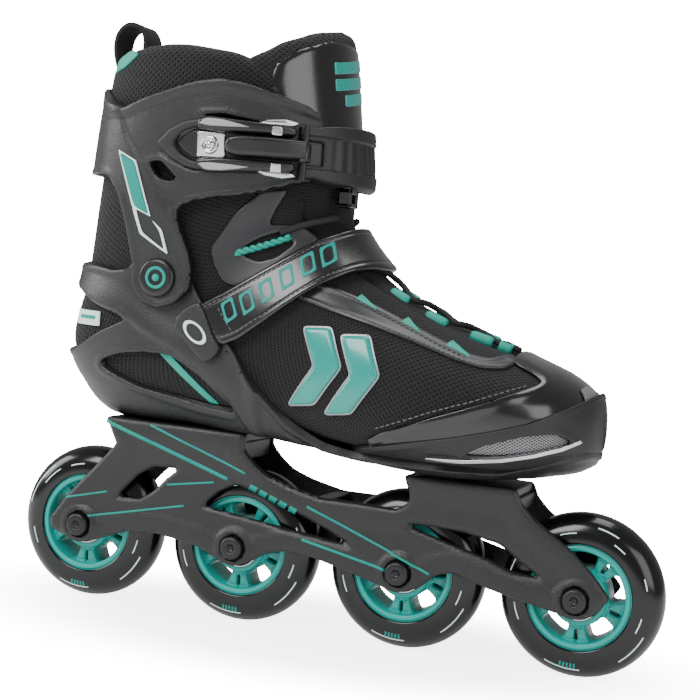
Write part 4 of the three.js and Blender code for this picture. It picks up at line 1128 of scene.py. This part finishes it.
def crest(x):
    """Height of the instep's ridge at x."""
    k = np.linspace(1, 8, 200)
    ridge = boot_point(k, np.full(200, np.pi), 0.0)
    return np.interp(x, ridge[::-1, 0], ridge[::-1, 2])


stations = [(146, -1), (153, 1), (168, -1), (176, 1), (190, -1), (198, 1), (212, -1), (216, 1), (222, -0.2)]
turns = np.array([(x, 13 * s * (1 - 0.45 * (x - 146) / 76), crest(x) + 2.2 - 1.6 * abs(s))
                  for x, s in stations])
t = np.linspace(0, len(turns) - 1, 161)
smooth = np.stack([np.interp(t, np.arange(len(turns)), turns[:, i]) for i in range(3)], 1)
smooth = sum(np.roll(np.pad(smooth, ((12, 12), (0, 0)), "edge"), s, 0)[12:-12] for s in range(-5, 6)) / 11
smooth[:, 2] = np.maximum(smooth[:, 2], crest(smooth[:, 0]) + 1.6 - 0.012 * smooth[:, 1] ** 2)
points, faces = cable(smooth, 1.55, 12)
piece("lace_cord", there(points), faces.tolist(), black_cord, "chassis", replaces=("lace",))
tube_ends = [((156, 9, 176.8), (165.5, 9, 172.6)), ((175, 9, 167), (186, 9, 163.2)),
             ((198.5, 8.5, 159.4), (209.5, 8, 156.6)), ((212, 6, 155.6), (218, 4, 153.8))]
for n, (a, b) in enumerate(tube_ends):
    for label, side in (("outer", -1), ("inner", 1)):
        tube = np.linspace(a, b, 9) * [1, side, 1]
        points, faces = cable(tube, 2.9 * np.array([0.8, 0.97, 1, 1, 1, 1, 1, 0.97, 0.8]), 16)
        piece(f"lace_tube_{label}_{n}", there(points), faces.tolist(), teal_thread, "chassis")
loop_spans = [(147, 158), (171, 181), (194, 206)]
for n, (x0, x1) in enumerate(loop_spans):
    for label, side in (("outer", -1), ("inner", 1)):
        z0, z1 = (np.interp(x, [p[0] for p in stay_high], [p[1] for p in stay_high]) for x in (x0, x1))
        flap = [(x0 - 1, z0 - 0.8), (x0 + 1, z0 + 1.5), (x1 - 2, z1 + 0.2), (x1, z1 - 1.6)]
        fine_piece(f"lace_loop_{label}_{n}", side_cut(flap, radius=0.5, side=side, reach=3), 0.6, 1.3,
                   teal_thread, "chassis", "lace_cord", ks=(1, 9), detail=3, bevel=0.25)


# ------------------------------------------------------------------ instep strap
# A strap of glossy synthetic leather crosses the instep, sewn down on the outer side. It has
# two rows of stitching and a printed row of slanted frames.
def any_of(*cuts):
    """Inside any of several outlines."""
    return lambda points: np.max([cut(points) for cut in cuts], axis=0)


strap_look = finish("glossy_strap_leather", (0.005, 0.005, 0.0055), 0.24, coat=0.3, size=1700, depth=0.00006)
strap_outline = [(65, 155), (67, 160.5), (75, 165.5), (83, 170.5), (95, 179), (109, 189), (121, 198),
                 (133, 204.5), (140, 208), (158, 212), (176, 192), (168, 186), (156, 186.5), (149, 187),
                 (141, 184), (129, 177), (119, 169.5), (104, 157), (92, 147.5), (83, 143.5), (77, 145),
                 (72, 149)]


def strap_form(points, depth):
    """Two thick layers with a soft edge, and a hollow along each row of stitching."""
    return 1.6 + 0.7 * soft_edge(depth, 2.4) - 0.35 * np.exp(-((depth - 2.6) / 0.5) ** 2)


skin_piece("instep_strap_leather", side_cut(strap_outline, radius=1.5), 3.8, strap_form, strap_look,
           "chassis", ks=(4, 11), bevel=0.4, replaces=("instep_strap",))
strap_upper = [(71, 160.5), (83, 167.5), (95, 176), (109, 186), (121, 195), (132, 201)]
strap_lower = [(82, 147), (91, 151), (104, 160.5), (119, 173), (129, 180.5), (140, 187.5)]
stitches("strap_thread", [strap_upper, strap_lower, [(79, 161.5), (88, 150.5)]], -1, 5.9, "chassis",
         ks=(5, 11), pitch=2.8, length=2.0, radius=0.26)
middle_line = np.array([(84, 160), (96, 166.5), (108, 176), (120, 186), (131, 193.5)])
frames = []
for n in range(6):
    s = n / 5 * 3.7 + 0.12
    x, z = (np.interp(s, np.arange(5), middle_line[:, i]) for i in range(2))
    slope = np.array([0.78, 0.62])
    lean = np.array([-0.42, 0.9])
    box_at = lambda w, h: [(x + slope[0] * a * w + lean[0] * b * h, z + slope[1] * a * w + lean[1] * b * h)
                           for a, b in ((-1, -1), (1, -1), (1, 1), (-1, 1))]
    frames.append(side_cut(box_at(3.6, 5.2), box_at(2.3, 3.9), radius=0.5, side=-1, reach=5))
fine_piece("strap_print", any_of(*frames), 5.9, 0.42, teal_print, "chassis", "leatherette", ks=(5, 11),
           detail=5)


# ------------------------------------------------------------------ strap anchors
# A moulded plate at each end of the strap is riveted to the shell, with an oval ring on it.
anchor_outline = [(58, 155), (63, 160.5), (69.5, 163.5), (73, 158), (78, 149), (83.5, 142), (80, 137),
                  (75, 134.5), (66, 142), (57.5, 149.5)]


def oval(size):
    """The ring's oval, 7.6 by 4.2 mm from its middle at full size, leaning along the strap."""
    turn = np.linspace(0, 2 * np.pi, 40, endpoint=False)
    long, short = size * 7.6 * np.cos(turn), size * 4.2 * np.sin(turn)
    return np.stack([69 + long * 0.8 + short * 0.6, 148.2 - long * 0.6 + short * 0.8], 1)


for label, side in (("outer", -1), ("inner", 1)):
    fine_piece(f"strap_anchor_{label}", side_cut(anchor_outline, radius=1.5, side=side), 3.4,
               lambda points, depth: 3.6 + 0.7 * soft_edge(depth, 1.8), shell_look, "chassis",
               "moulded_plastic", ks=(5, 11), detail=2, bevel=0.5, replaces=(f"strap_anchor_{label}_side",))
    fine_piece(f"anchor_ring_{label}", side_cut(oval(1.0), oval(0.78), radius=0.3, side=side), 7.6, 0.5,
               print_look, "chassis", "moulded_plastic", ks=(5, 11), detail=5)


# ------------------------------------------------------------------ raised chevrons and prints
# Moulded turquoise rubber chevrons, edged in silver, are welded on each side of the upper.
puff_look = finish("moulded_turquoise_rubber", (0.0, 0.25, 0.21), 0.26, coat=0.3, size=900, depth=0.00002,
                   vary=0.04)
silver_look = finish("silver_edge_film", (0.30, 0.32, 0.33), 0.4, metallic=0.6, size=1500, depth=0.00002)
chevron = np.array([(0, -19), (14, -17), (27, 2), (19, 20), (5, 19), (13, 1)])
shapes = [chevron + [119, 137], chevron + [139, 135]]


def grown_cut(cut, margin):
    """The same outlines, wider by a margin."""
    return lambda points: cut(points) + margin


for label, side in (("outer", -1), ("inner", 1)):
    emblem = any_of(*(side_cut(shape, radius=1.2, side=side, reach=8) for shape in shapes))
    fine_piece(f"chevron_edge_{label}", grown_cut(emblem, 0.8), 0.1, 0.55, silver_look, "chassis",
               "mesh_fabric", ks=(3, 9), detail=3)
    fine_piece(f"chevrons_{label}", emblem, 0.3, lambda points, depth: 0.4 + 1.5 * soft_edge(depth, 2.6),
               puff_look, "chassis", "mesh_fabric", ks=(3, 9), detail=3)
    stripe = side_cut([(46.5, 135.6), (51.5, 136.5), (78.5, 113), (73.5, 113)], radius=0.4, side=side)
    fine_piece(f"window_stripe_{label}", stripe, 0.1, 0.5, teal_thread, "chassis", "mesh_fabric", ks=(6, 11),
               detail=3)
    slant = side_cut([(21, 233), (30, 229), (39, 204), (31, 208)], radius=0.5, side=side)
    tail = side_cut([(30, 207), (39.5, 203), (47, 197), (51, 185), (35, 194), (31, 204)],
                    [(32, 207), (39, 204), (45.8, 196.3), (49, 187), (36, 195), (33, 203)], radius=0.5,
                    side=side)
    line = side_cut([(19.6, 235), (31, 230), (40.6, 203), (30, 207)],
                    [(20.8, 233.6), (30.3, 229.5), (39.6, 203.7), (30.8, 207.7)], radius=0.4, side=side)
    fine_piece(f"cuff_print_{label}", slant, 8.0, 0.42, teal_print, "cuff_assembly", "moulded_plastic",
               ks=(7, 15), detail=4)
    fine_piece(f"cuff_outline_{label}", any_of(line, tail), 8.0, 0.4, print_look, "cuff_assembly",
               "moulded_plastic", ks=(7, 15), detail=6)


# ------------------------------------------------------------------ ankle overlay and cords
# A yoke of grey leather reinforces the ankle. A turquoise cord lies in its slot and a black
# one runs on round the tongue.
yoke_outline = [(93, 220), (81, 208), (75, 198), (69.5, 190), (72, 182), (78, 174), (86, 172), (98, 180),
                (112, 191), (121, 199), (112, 205), (97, 204), (100, 212), (105, 222)]
yoke_slot = [(105, 202), (94, 197.5), (86, 192), (87, 187.5), (95, 185.5), (103, 188.5), (110, 195.5)]
for label, side in (("outer", -1), ("inner", 1)):
    fold(fine_piece(f"ankle_yoke_{label}", side_cut(yoke_outline, yoke_slot, radius=1.5, side=side, reach=10),
                    0.2, lambda points, depth: 0.8 + 0.6 * soft_edge(depth, 1.6), leather_look, "chassis",
                    "leatherette", ks=(7, 13), detail=2, bevel=0.3))
    # The turquoise cord is two strands wound round each other; the black one is a plain cord.
    u, v = trace([(83, 188.5), (88, 190.5), (96, 193.5), (103, 196.5), (108, 199)], side, 1.0, 0.8, (7, 12))
    core = skin(1.0)(u, v, 0.6)
    turn = np.linspace(0, 2 * np.pi * 4, len(core))
    for strand in range(2):
        wound = core + 0.8 * np.stack([0 * turn, np.cos(turn + np.pi * strand),
                                       np.sin(turn + np.pi * strand)], 1)
        points, faces = cable(wound, 1.1, 10)
        fold(piece(f"ankle_cord_{label}_{strand}", there(points), faces.tolist(), teal_thread, "chassis"))
    u, v = trace([(103, 200.5), (112, 205), (120, 208), (126, 210.5)], side, 1.0, 0.8, (7, 12))
    points, faces = cable(skin(1.0)(u, v, 0.6), 1.8, 10)
    fold(piece(f"ankle_black_cord_{label}", there(points), faces.tolist(), black_cord, "chassis"))


# ------------------------------------------------------------------ tongue
# The tongue is a foam pad covered in spacer mesh, with a face of glossy leather and a few
# welded turquoise bars. Its lower part fills the throat behind the laces.
tongue_side = rounded([(239, 120), (239, 152), (212, 170), (170, 205), (150, 240), (140, 330), (80, 330),
                       (66, 292), (64, 280), (74, 262), (84, 238), (92, 215), (112, 196), (140, 172),
                       (190, 140)], 3.0)
tongue_front = rounded([(-9, 110), (-12, 150), (-15, 170), (-18, 190), (-21, 210), (-26, 232), (-35, 252),
                        (-38.5, 272), (-37, 284), (-30, 294), (-18, 301), (0, 305), (14, 305), (28, 300),
                        (36, 290), (39, 276), (36, 254), (27, 232), (22, 210), (19, 190), (16, 170),
                        (13, 150), (10, 110)], 2.0)


def tongue_cut(points):
    """Inside the tongue seen from the side and seen from the front."""
    return np.minimum(inside(points[..., [0, 2]], tongue_side), inside(points[..., [1, 2]], tongue_front))


def tongue_top(points, depth):
    """Foam swells above the ankle and rounds over at the edge; below it lies flat in the throat."""
    swell = ease(points[..., 2], 205, 236)
    edge = soft_edge(depth, 6.0)
    crown = 6.2 + 4.0 * swell
    return crown - (3.0 + 1.6 * swell) * (1 - edge) + 0.8 * swell * soft_edge(depth, 20)


def tongue_back(points, depth):
    """The lining rounds over towards the edge too."""
    return 2.6 * (1 - soft_edge(depth, 6.0))


tongue = skin_piece("tongue_pad", tongue_cut, -7.5, tongue_top, mesh_look, "chassis",
                    ks=(0, 15), bevel=0.0, replaces=("tongue_lower", "tongue_upper"), bottom=tongue_back)
fold(tongue)
face_look = finish("glossy_tongue_leather", (0.004, 0.004, 0.0045), 0.18, coat=0.4, size=1500, depth=0.00004)


def face_cut(points):
    """The leather face: the front of the tongue, an even margin inside its edge."""
    height = np.minimum(points[..., 2] - 228, 298 - points[..., 2])
    return np.minimum(np.minimum(tongue_cut(points) - 4.5, height), 34 - np.abs(points[..., 1]))


def face_form(points, depth):
    """Leather stretched over the foam, stitched down at its edge."""
    swell = 0.8 * soft_edge(tongue_cut(points), 20) + 4.0 * ease(points[..., 2], 205, 236) + 6.2
    return swell - 0.4 + 1.0 * soft_edge(depth, 2.0)


skin_piece("tongue_face_leather", face_cut, -7.5, face_form, face_look, "cuff_assembly",
           ks=(9, 15), bevel=0.3)


def tongue_bars(points):
    """Three slanted bars across the upper part of the tongue's face."""
    y, z = points[..., 1], points[..., 2] - 0.25 * points[..., 1]
    bars = [np.minimum(np.minimum(3.0 - np.abs(z - zc), half - np.abs(y + 1)), points[..., 0] - 96)
            for zc, half in ((287, 14), (278.5, 14), (270, 9))]
    return np.max(bars, axis=0)


fine_piece("tongue_bars", tongue_bars, -7.5, lambda points, depth: face_form(points, depth + 2) + 0.45,
           puff_look, "cuff_assembly", "leatherette", ks=(11, 15), detail=2)


# ------------------------------------------------------------------ collar trim and pull loop
# A loop of black webbing stands at the back of the collar, sewn under a small turquoise patch.
def webbing(path, thickness, half):
    """A flat strap: a rounded rectangle carried along a path in the side view."""
    path = np.asarray(path, float)
    run = np.concatenate([[0], np.cumsum(np.linalg.norm(np.diff(path, axis=0), axis=1))])
    even = np.linspace(0, run[-1], 60)
    line = np.stack([np.interp(even, run, path[:, i]) for i in range(2)], 1)
    line = sum(np.pad(line, ((4, 4), (0, 0)), "edge")[4 + s:64 + s] for s in range(-4, 5)) / 9
    way = np.gradient(line, axis=0)
    normal = np.stack([-way[:, 1], way[:, 0]], 1) / np.linalg.norm(way, axis=1)[:, None]
    corner = np.array([(-1, -0.7), (-0.6, -1), (0.6, -1), (1, -0.7), (1, 0.7), (0.6, 1), (-0.6, 1),
                       (-1, 0.7)])
    y = np.sign(corner[:, 1]) * (half - 0.6 * (1 - np.abs(corner[:, 0])))
    ring = line[:, None] + normal[:, None] * (corner[:, 0] * thickness / 2)[None, :, None]
    points = np.stack([ring[..., 0], np.broadcast_to(y, ring.shape[:2]), ring[..., 1]], -1)
    faces = grid_faces(60, 8, wrap=True).tolist() + [list(range(8)), [59 * 8 + i for i in range(8)][::-1]]
    return points.reshape(-1, 3), faces


webbing_look = cloth("black_webbing", (0.02, 0.02, 0.021), (0.008, 0.008, 0.008), 900)
loop_path = [(-2, 274), (-6.5, 284), (-8.2, 294), (-5, 302), (2, 304.5), (8, 301), (10, 292), (7, 280)]
points, faces = webbing(loop_path, 1.8, 9.5)
span = np.repeat(np.linspace(0, 0.09, 60), 8)
piece("pull_loop_webbing", there(points), faces, webbing_look, "cuff_assembly",
      replaces=("pull_loop",), uv=np.stack([span, points[:, 1] / 1000], 1), bevel=0.2)
patch = side_cut([(6, 274), (9, 281), (20, 285.5), (25, 283), (16, 277)], radius=1.0, side=-1, reach=4)
fine_piece("collar_patch", patch, 2.9, 1.0, teal_thread, "cuff_assembly", "mesh_fabric", ks=(11, 15),
           detail=3, bevel=0.3)
for label, side in (("outer", -1), ("inner", 1)):
    collar_seam = [(-4, 253), (20, 254.5), (50, 268.5), (76, 275.5), (90, 272), (100, 266)]
    stitches(f"collar_thread_{label}", [collar_seam], side, 2.2, "cuff_assembly", ks=(11, 15), pitch=3.6,
             length=2.4, radius=0.3)


# ------------------------------------------------------------------ front band and buckle
# The lever buckle: a chrome base and two rails riveted to the cuff, a lever between them, and a
# moulded band over the shin that the lever pulls tight. The band bends near its inner rivet.
chrome_look = finish("polished_chrome", (0.62, 0.62, 0.64), 0.12, metallic=1.0, size=600, depth=0.000008,
                     vary=0.05)
# Light grey for the painted highlight along the top of each buckle rail.
rail_highlight_look = finish("painted_rail_highlight", (0.30, 0.30, 0.31), 0.35, size=1500, depth=0.00003, vary=0.1)
rubber_look = finish("moulded_band_nylon", (0.006, 0.006, 0.0065), 0.5, size=2200, depth=0.00011, vary=0.1)
band_outer = rounded([(111, 226.8), (117, 227.5), (123, 225.8), (132, 224.5), (200, 224.5), (200, 255.5),
                      (132, 255.5), (123, 254.2), (117, 252.5), (111, 253.2), (111, 245.8), (120.5, 245.8),
                      (120.5, 234.2), (111, 234.2)], 0.7, 1.0)
band_inner = rounded([(102.3, 226.8), (112, 227.5), (123, 225.8), (132, 224.5), (200, 224.5), (200, 255.5),
                      (132, 255.5), (123, 254.2), (112, 252.5), (102.3, 253.2)], 0.7, 1.0)


def band_cut(points):
    """The outer side carries two prongs beside the lever; the inner side ends at the flex line."""
    flat = points[..., [0, 2]]
    return np.where(points[..., 1] < 0, inside(flat, band_outer), inside(flat, band_inner))


def band_form(points, depth):
    """A raised frame round a sunk panel, and low ribs across the panel."""
    y, z = points[..., 1], points[..., 2]
    frame_edge = ease(np.abs(z - 240), 7.6, 8.6)
    ribs = 0.35 * np.cos(y * 2 * np.pi / 5.5) * (1 - frame_edge) * (np.abs(y) < 26)
    return 2.5 + 1.1 * frame_edge + ribs - 1.2 * (1 - soft_edge(depth, 1.6))


def band_piece(name, distance, base, top, look, body, slot, **more):
    """A piece of the buckle, on the last's shape at the height of the band."""
    return fine_piece(name, distance, base, top, look, body, slot, ks=(9, 15), **more)


band_piece("front_band_moulding", band_cut, 7.4, band_form, rubber_look, "front_strap", "moulded_plastic",
           detail=2, bevel=0.4, replaces=("front_band",))
tab = side_cut([(101.7, 226.8), (101.7, 253.2), (87, 250.5), (83, 246), (82, 240), (83, 234), (87, 229.5)],
               radius=1.0, side=1, reach=5)
band_piece("band_tab_moulding", tab, 7.4, lambda points, depth: 2.0 + 1.0 * soft_edge(depth, 1.6),
           rubber_look, "cuff_assembly", "moulded_plastic", detail=2, bevel=0.4,
           replaces=("front_band_tab",))


def round_top(height, radius):
    """A top that rounds over at its edge."""
    return lambda points, depth: height - radius * (1 - soft_edge(depth, radius))


outer_only = dict(side=-1, reach=5)
plate_cut = side_cut([(64, 233.6), (78, 233.6), (78, 246.2), (64, 246.2)], radius=0.9, **outer_only)
band_piece("buckle_plate", plate_cut, 6.4, round_top(2.2, 0.8), chrome_look, "cuff_assembly", "chrome",
           bevel=0.3, replaces=("buckle_base",))
arch_cut = side_cut([(42, 239.5), (49.5, 247), (56.7, 251), (66, 253), (66, 248.2), (61, 247.6),
                     (55.5, 244.8), (51.5, 240), (55.5, 235.2), (61, 232.4), (66, 231.8), (66, 227),
                     (57, 228.6), (49.5, 232.6)],
                    radius=0.9, **outer_only)
band_piece("buckle_arch", arch_cut, 5.6, round_top(2.6, 2.0), rubber_look, "cuff_assembly", "moulded_plastic",
           detail=2)
# Near-black sheets in the arch's hollow and in the slot above it are painted shade: the darkness inside these
# recesses.
recess_shade_look = finish("painted_recess_shade", (0.0015, 0.0015, 0.0015), 0.35, size=900, depth=0.00002)
hollow_cut = side_cut([(52.5, 240), (56.5, 244), (61.5, 246.6), (66, 247), (66, 233), (61.5, 233.4),
                       (56.5, 236)], radius=0.9,
                      **outer_only)
band_piece("buckle_recess_shade", hollow_cut, 5.9, round_top(0.35, 0.3), recess_shade_look, "cuff_assembly",
           "moulded_plastic", detail=2)
slot_cut = side_cut([(59, 256.6), (64, 259.4), (74, 259.6), (87, 255.8), (76, 255.8), (66, 255.6)],
                    radius=0.9, **outer_only)
band_piece("cuff_slot_shade", slot_cut, 5.9, round_top(0.35, 0.3), recess_shade_look, "cuff_assembly", "moulded_plastic",
           detail=2)
for word, mirror in (("upper", 1), ("lower", -1)):
    half = lambda shape: [(x, 240 + mirror * (z - 240)) for x, z in shape]
    rail = half([(64.5, 247.2), (75, 246), (95, 246.2), (108, 246.2), (109, 250), (106, 251.8), (95, 252),
               (80, 252.8), (70, 253.6), (65, 252)])
    band_piece(f"buckle_rail_{word}", side_cut(rail, radius=1.0, **outer_only), 6.2, round_top(5.8, 2.2),
               badge_look, "cuff_assembly", "moulded_plastic", bevel=0.3)
    # A light grey strip along the top of each rail is a painted highlight, the sheen of the rail's glossy
    # top.
    highlight_strip = half([(66, 249.4), (70, 252.4), (78, 252.2), (86, 250.8), (92, 249.4), (82, 248.8), (72, 248.6)])
    band_piece(f"buckle_rail_highlight_{word}", side_cut(highlight_strip, radius=0.8, **outer_only), 11.4, round_top(1.2, 0.9),
               rail_highlight_look, "cuff_assembly", "moulded_plastic", bevel=0.2)
    tip = half([(92, 251.4), (97, 250.8), (108, 251.2), (109.5, 253.4), (104, 254.6), (96, 253.6)])
    band_piece(f"buckle_tip_{word}", side_cut(tip, radius=0.6, **outer_only), 6.6, round_top(5.0, 1.4),
               chrome_look, "cuff_assembly", "chrome", bevel=0.3)
    pad = half([(100.4, 246.4), (105.4, 246.4), (105.4, 251), (100.4, 251)])
    band_piece(f"buckle_pad_{word}", side_cut(pad, radius=0.8, **outer_only), 11.2, round_top(1.4, 0.8),
               chrome_look, "cuff_assembly", "chrome", bevel=0.2)


def lever_form(points, depth):
    """The lever is deepest in the middle and rounds over at its edges."""
    return 5.6 + 0.7 * ease(points[..., 0], 82, 96) - 2.0 * (1 - soft_edge(depth, 2.2))


lever_cut = side_cut([(80, 236.2), (84, 235.2), (114, 235.4), (114, 244.6), (84, 244.8), (80, 243.8),
                      (78.6, 240)],
                     radius=0.9, **outer_only)
band_piece("lever_bar", lever_cut, 8.6, lever_form, badge_look, "lever", "moulded_plastic", bevel=0.4,
           replaces=("buckle_lever",))
pin_low, pin_high = (((np.array(corner) - origin) * 1000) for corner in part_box("lever_pin"))
pin_line = np.linspace((pin_low + pin_high) / 2 - [0, 0, 4.6], (pin_low + pin_high) / 2 + [0, 0, 4.6], 9)
points, faces = cable(pin_line, 3.2 * np.array([0.86, 0.97, 1, 1, 1, 1, 1, 0.97, 0.86]), 32)
piece("lever_eye", there(points), faces.tolist(), badge_look, "lever")


def reach_at(x, z, side, offset):
    """How far out the last reaches at a point of the side view."""
    u, v = trace([(x, z), (x + 0.6, z)], side, offset, 0.5, (9, 15))
    return abs(skin(offset)(u, v, 0.0)[0, 1])


rivet_rim = [(0, -2), (6.0, -2), (6.0, 0.2), (5.2, 1.0), (4.1, 1.0), (3.7, 0.3), (2.6, 0.3), (2.3, 1.3),
             (1.2, 1.8), (0, 1.9)]
for name, node, x, side in (("buckle_rivet_cap", "buckle_rivet", 71.0, -1),
                            ("band_rivet_cap", "band_rivet", 93.0, 1)):
    out = reach_at(x, 240, side, 8.6 if side < 0 else 10.2)
    rim = [(r * (0.76 if side < 0 else 0.8), side * (out + y)) for r, y in rivet_rim]
    points, faces = turned(rim, (x, 240), 48)
    piece(name, points, faces, chrome_look, "cuff_assembly", replaces=(node,))
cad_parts["lever_pin"].material_slots[0].material = bolt_look
guide_low, guide_high = ((np.array(corner) - origin) * 1000 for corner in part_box("strap_guide"))
x0, y0, z0 = guide_low
x1, y1, z1 = guide_high
for name, low, high in (("back", (x0, y0, z0), (x0 + 2.2, y1, z1)),
                        ("left", (x0, y0, z0), (x1, y0 + 3.8, z1)),
                        ("right", (x0, y1 - 3.8, z0), (x1, y1, z1)),
                        ("top", (x0, y0, z1 - 3.4), (x1, y1, z1)),
                        ("bottom", (x0, y0, z0), (x1, y1, z0 + 2.4))):
    block(f"guide_{name}", low, high, badge_look, "front_strap", bevel=0.7,
          replaces=("strap_guide",) if name == "back" else ())


# ------------------------------------------------------------------ vents, lip and heel tag
# Woven wire fills the vents, a bright lip runs under them, and a plain tag is sewn at the heel.
wire_look = cloth("woven_wire", (0.30, 0.30, 0.31), (0.02, 0.02, 0.02), 620)
for label, side in (("outer", -1), ("inner", 1)):
    vent = side_cut([(206, 105), (218, 112), (236, 118.5), (250, 121), (258, 117), (252, 112), (241, 109),
                     (224, 106)], radius=0.8, side=side, reach=2)
    fine_piece(f"vent_wire_{label}", vent, 0.35, 1.5, wire_look, "chassis", "mesh_fabric", ks=(0, 8),
               detail=2)
    lip_line = band([(191, 101.6), (208, 102.6), (227, 105.2), (241, 108.6), (252, 112.2), (259, 116)], 0.8)
    fine_piece(f"vent_lip_{label}", side_cut(lip_line, radius=0.4, side=side, reach=0.5), 2.6, 2.4,
               chrome_look, "chassis", "chrome", ks=(0, 8), detail=3, bevel=0.2)
    tag = side_cut([(-9, 145.5), (9, 145.5), (9, 153), (-9, 153)], radius=0.5, side=side, reach=8)
    fine_piece(f"heel_tag_{label}", tag, 0.3, 0.7, print_look, "chassis", "mesh_fabric", ks=(9, 12), detail=3,
               bevel=0.2)
    bar = side_cut([(-6, 148.6), (6, 148.6), (6, 150.4), (-6, 150.4)], radius=0.2, side=side, reach=8)
    fine_piece(f"heel_tag_bar_{label}", bar, 0.9, 0.25, teal_print, "chassis", "mesh_fabric", ks=(9, 12),
               detail=4)
toe_plate = rounded([(-13, 132.5), (-10, 138.5), (0, 140), (9, 136), (9, 131.5), (-2, 134.5)], 0.8, 0.8)
fine_piece("toe_vent", lambda points: np.minimum(inside(points[..., [1, 2]], toe_plate),
                                                 points[..., 0] - 245), 2.0, 0.9,
           wire_look, "chassis", "mesh_fabric", ks=(0, 4), detail=3, bevel=0.2)
foam_look = finish("brushed_foam", (0.02, 0.02, 0.022), 0.95, size=900, depth=0.0004)
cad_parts["insole"].material_slots[0].material = foam_look
low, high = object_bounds()
